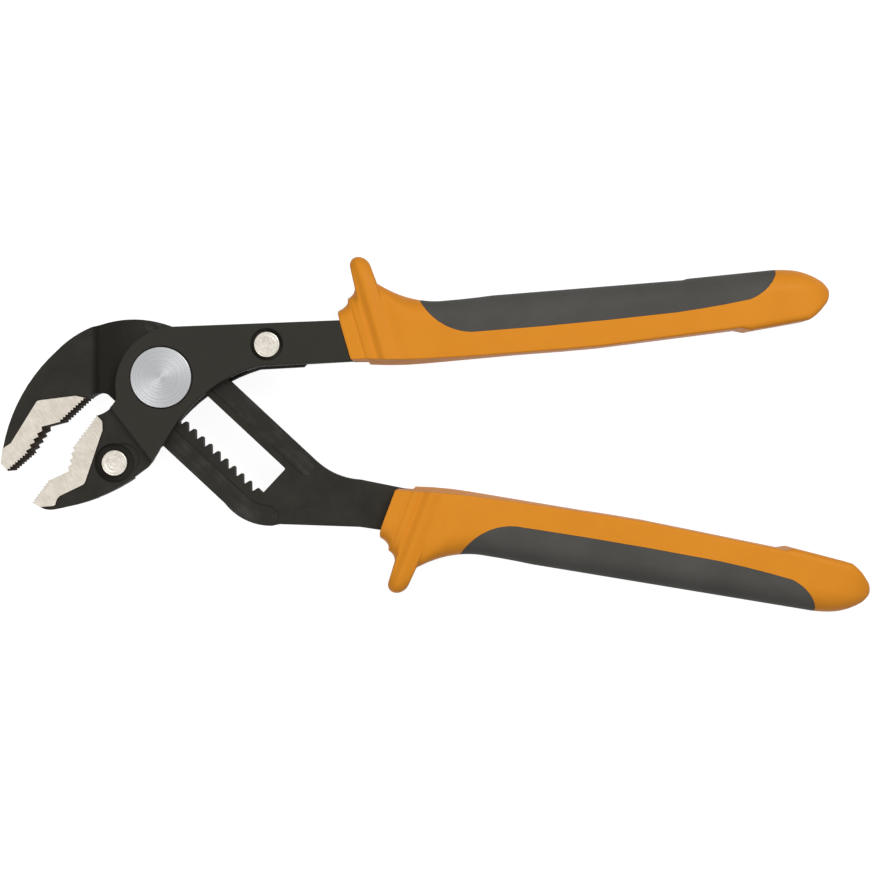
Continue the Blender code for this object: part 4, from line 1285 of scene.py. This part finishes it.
def sectionPlaces(form):
    # a section wherever an edge turns, close together on the collar and at the nose
    start, length = form["start"], form["length"]
    collar, nose, least = grip["collarEnd"] - start, grip["noseLength"], grip["leastStep"]
    turns = [point.x for line in (form["inner"], form["outer"]) for point in line]
    count = math.ceil(collar / grip["collarStep"])
    turns += [start + collar * i / count for i in range(count + 1)]
    for i in range(1, grip["noseSteps"]):
        turns.append(length - nose + nose * math.sin(math.pi / 2 * i / grip["noseSteps"]))
    kept = [start]
    for place in sorted(turns):
        gap = place - kept[-1]
        if gap < least or place > length - least:
            continue
        extra = math.floor(gap / grip["bodyStep"])
        kept += [kept[-1] + gap * (i + 1) / (extra + 1) for i in range(extra)]
        kept.append(place)
    return kept


def gripSection(form, place, inset):
    # half of a section, from its inner edge over the front to its outer edge: across, up
    low = heightAt(form["inner"], place)
    high = max(heightAt(form["outer"], place) - inset, low + grip["leastWidth"])
    half = heightAt(form["front"], place, soft=True)
    beyond = (place - form["length"] + grip["noseLength"]) / (grip["noseLength"] + grip["noseBeyond"])
    if beyond > 0:
        half *= math.sqrt(1 - beyond * beyond)
    half = max(half - inset, grip["leastHalf"])
    most = grip["edgeOfWidth"] * (high - low)
    edge = min(heightAt(form["edge"], place), grip["edgeOfHalf"] * half, most)
    draft = min(heightAt(form["draft"], place), most)
    shoulder = min(grip["outer"] - grip["round"], low + grip["shoulder"] * (high - low))
    power = 2 / heightAt(form["fullness"], place)
    steps = grip["steps"]
    wall = steps["wall"]
    points = [(low + draft * i / wall, (half - edge) * i / wall) for i in range(wall)]
    for i in range(steps["edge"] + 1):
        turned = math.pi / 2 * i / steps["edge"]
        points.append((low + draft + edge * (1 - math.cos(turned)), half - edge * (1 - math.sin(turned))))
    first = points[-1][0]
    points += [(first + (shoulder - first) * i / steps["face"], half) for i in range(1, steps["face"])]
    for i in range(steps["round"]):
        turned = math.pi / 2 * i / steps["round"]
        across = shoulder + (high - shoulder) * math.sin(turned) ** power
        points.append((across, half * math.cos(turned) ** power))
    return points + [(high, 0.0)]


def gripLoft(name, handle, inset):
    form = gripForm(handle)
    shape = bmesh.new()
    rings = []
    for place in sectionPlaces(form):
        front = gripSection(form, place, inset)
        back = [(across, -up) for across, up in front[-2:0:-1]]
        fade = max(0.0, 1 - (place - form["start"]) / grip["lipLength"]) * handle["lip"]
        ring = []
        for across, up in front + back:
            lip = fade * clamp((abs(up) - grip["lipRise"]) / grip["lipRise"])
            along = place - across * grip["slant"] - lip
            ring.append(shape.verts.new((along, across * handle["side"], up)))
        rings.append(ring)
    for ring, following in zip(rings, rings[1:]):
        for i in range(len(ring)):
            j = (i + 1) % len(ring)
            shape.faces.new((ring[i], ring[j], following[j], following[i]))
    shape.faces.new(rings[0])
    shape.faces.new(rings[-1])
    bmesh.ops.recalc_face_normals(shape, faces=shape.faces)
    return keepShape(name, shape)


def prism(name, corners, side, half):
    # a flat outline drawn out to both sides of the mid-plane
    shape = bmesh.new()
    face = shape.faces.new([shape.verts.new((x, y * side, -half)) for x, y in corners])
    drawn = bmesh.ops.extrude_face_region(shape, geom=[face])["geom"]
    moved = [part for part in drawn if isinstance(part, bmesh.types.BMVert)]
    bmesh.ops.translate(shape, verts=moved, vec=(0, 0, 2 * half))
    bmesh.ops.recalc_face_normals(shape, faces=shape.faces)
    return keepShape(name, shape)


def insertPrism(name, handle, gap):
    # the outline of the soft insert on the side of the handle, open past the outer edge, as a prism
    start = insert["start"]
    end = handle["length"] - insert["endMargin"]
    outer = grip["outer"]
    reach = -insert["reach"] - gap
    corners = [
        (start - gap, outer + grip["cutBeyond"]),
        (start - gap, outer - 0.0001),
        (start + 0.0146, reach, 0.0026),
        (end - 0.0300, reach + 0.0008, 0.0003),
        (end - 0.0088, reach + 0.0028, 0.0002),
        (end + gap, outer + 0.0001, 0.0013),
        (end + gap, outer + grip["cutBeyond"]),
    ]
    return prism(name, trace(corners), handle["side"], grip["cutHalf"])


def socketPrism(handle):
    # the room of the tang, open at the collar's end and on the bare part of the inner side
    gap, beyond = tang["gap"], grip["cutBeyond"]
    corners = [
        (-beyond, -grip["inner"] - beyond),
        (grip["bare"], -grip["inner"] - beyond),
        (grip["bare"], -tang["inner"] - gap),
        (tang["length"] + gap, -tang["inner"] - gap),
        (tang["length"] + gap, tang["outer"] + gap),
        (-beyond, tang["outer"] + gap),
    ]
    return prism("socket", corners, handle["side"], tang["half"] + gap)


def makeGrip(key):
    handle = handles[key]
    body = gripLoft(f"{key}Grip", handle, 0.0)
    recess = insertPrism("recess", handle, grip["seam"])
    combine(recess, gripLoft("recessCore", handle, insert["thickness"] + grip["seam"]), "DIFFERENCE")
    combine(body, recess, "DIFFERENCE")
    combine(body, socketPrism(handle), "DIFFERENCE")
    soft = insertPrism(f"{key}GripInsert", handle, 0.0)
    combine(soft, gripLoft("outerForm", handle, 0.0), "INTERSECT")
    combine(soft, gripLoft("insertCore", handle, insert["thickness"]), "DIFFERENCE")
    place = Matrix.Translation((*handle["collar"], midPlane))
    place = place @ Matrix.Rotation(math.radians(handle["angle"]), 4, "Z")
    for piece, finish, slot, node in (
        (body, orangePlastic, "orange_plastic", f"{key}_grip"),
        (soft, greyPlastic, "grey_soft_plastic", f"{key}_grip_insert"),
    ):
        piece.data.transform(place)
        piece.data.materials.clear()
        piece.data.materials.append(finish)
        smooth(piece, grip["smooth"])
        hand(piece, handle["body"], slot, node)
    print(key, "grip:", len(body.data.polygons), "faces, insert:", len(soft.data.polygons), "faces")


for key in handles:
    makeGrip(key)


# stage, light and camera

stage = {
    "floorGap": 0.0004,
    "floorSize": 6.0,
    "floorGlow": 0.92,
    "floorRoughness": 0.9,
    "cloudScale": 6.0,  # of the floor's paint, with its two tones
    "dark": tone(124, 124, 124),
    "light": tone(130, 130, 130),
    "skyLow": 0.05,
    "skyHigh": 0.79,
    "skyTilt": 0.42,
    "camera": (0.07835, -0.01647, 0.4825),
    "fieldOfView": 29.75,
    "nearest": 0.01,
    "lampAim": (0.05, -0.01, midPlane),
    "softboxes": (
        {"place": (0.50, 0.50, 0.75), "size": 0.4, "power": 4.2},
        {"place": (-0.50, -0.45, 0.75), "size": 0.4, "power": 2.4},
    ),
}


def seenWay(tree):
    # 1 for rays from the camera and those that metal or glass send on, 0 for the others
    path = addNode(tree, "ShaderNodeLightPath").outputs
    seen = calc(tree, "MAXIMUM", path["Is Camera Ray"], path["Is Glossy Ray"])
    return calc(tree, "MAXIMUM", seen, path["Is Transmission Ray"])


def makeFloor():
    # pale paint that glows nearly white where it is seen, so that only the shadow shows on it
    shape = bmesh.new()
    bmesh.ops.create_grid(shape, x_segments=1, y_segments=1, size=stage["floorSize"] / 2)
    floor = keepShape("floor", shape)
    floor.data.transform(Matrix.Translation((0, 0, cadBounds[0].z - stage["floorGap"])))
    made, tree, shader = startMaterial("floor paint", specular=0.0)
    cloud = placeGrain(tree, objectVector(tree), stage)[0]
    dress(tree, shader, toneOf(tree, cloud, stage), stage["floorRoughness"])
    shader["Emission Color"].default_value = tone(255, 255, 255)
    feed(tree, shader["Emission Strength"], calc(tree, "MULTIPLY", seenWay(tree), stage["floorGlow"]))
    floor.data.materials.append(made)


def makeSky():
    # Seen directly or in metal it is white. As light it is stronger from above and from the +Y side.
    scene.world = bpy.data.worlds.new("studio")
    scene.world.use_nodes = True
    tree = scene.world.node_tree
    way = addNode(tree, "ShaderNodeTexCoord").outputs["Generated"]
    _, forward, up = addNode(tree, "ShaderNodeSeparateXYZ", {"Vector": way}).outputs
    level = calc(tree, "MULTIPLY", calc(tree, "MAXIMUM", up, 0.0), stage["skyHigh"])
    level = calc(tree, "ADD", level, stage["skyLow"])
    level = calc(tree, "MULTIPLY", level, calc(tree, "MULTIPLY_ADD", forward, stage["skyTilt"], 1.0))
    seen = seenWay(tree)
    unseen = calc(tree, "SUBTRACT", 1.0, seen)
    background = tree.nodes["Background"].inputs
    background["Color"].default_value = (1.0, 1.0, 1.0, 1.0)
    feed(tree, background["Strength"], calc(tree, "ADD", seen, calc(tree, "MULTIPLY", unseen, level)))


def makeLamps():
    for count, softbox in enumerate(stage["softboxes"]):
        lamp = bpy.data.lights.new(f"softbox{count}", "AREA")
        lamp.size = softbox["size"]
        lamp.energy = softbox["power"]
        made = newObject(lamp.name, lamp)
        made.location = softbox["place"]
        made.rotation_euler = (Vector(stage["lampAim"]) - made.location).to_track_quat("-Z", "Y").to_euler()


def makeCamera():
    lens = bpy.data.cameras.new("camera")
    lens.angle = math.radians(stage["fieldOfView"])
    lens.clip_start = stage["nearest"]
    scene.camera = newObject("camera", lens)
    scene.camera.location = stage["camera"]


makeFloor()
makeSky()
makeLamps()
makeCamera()
scene.view_settings.view_transform = "Standard"
print("stage, light and camera set")
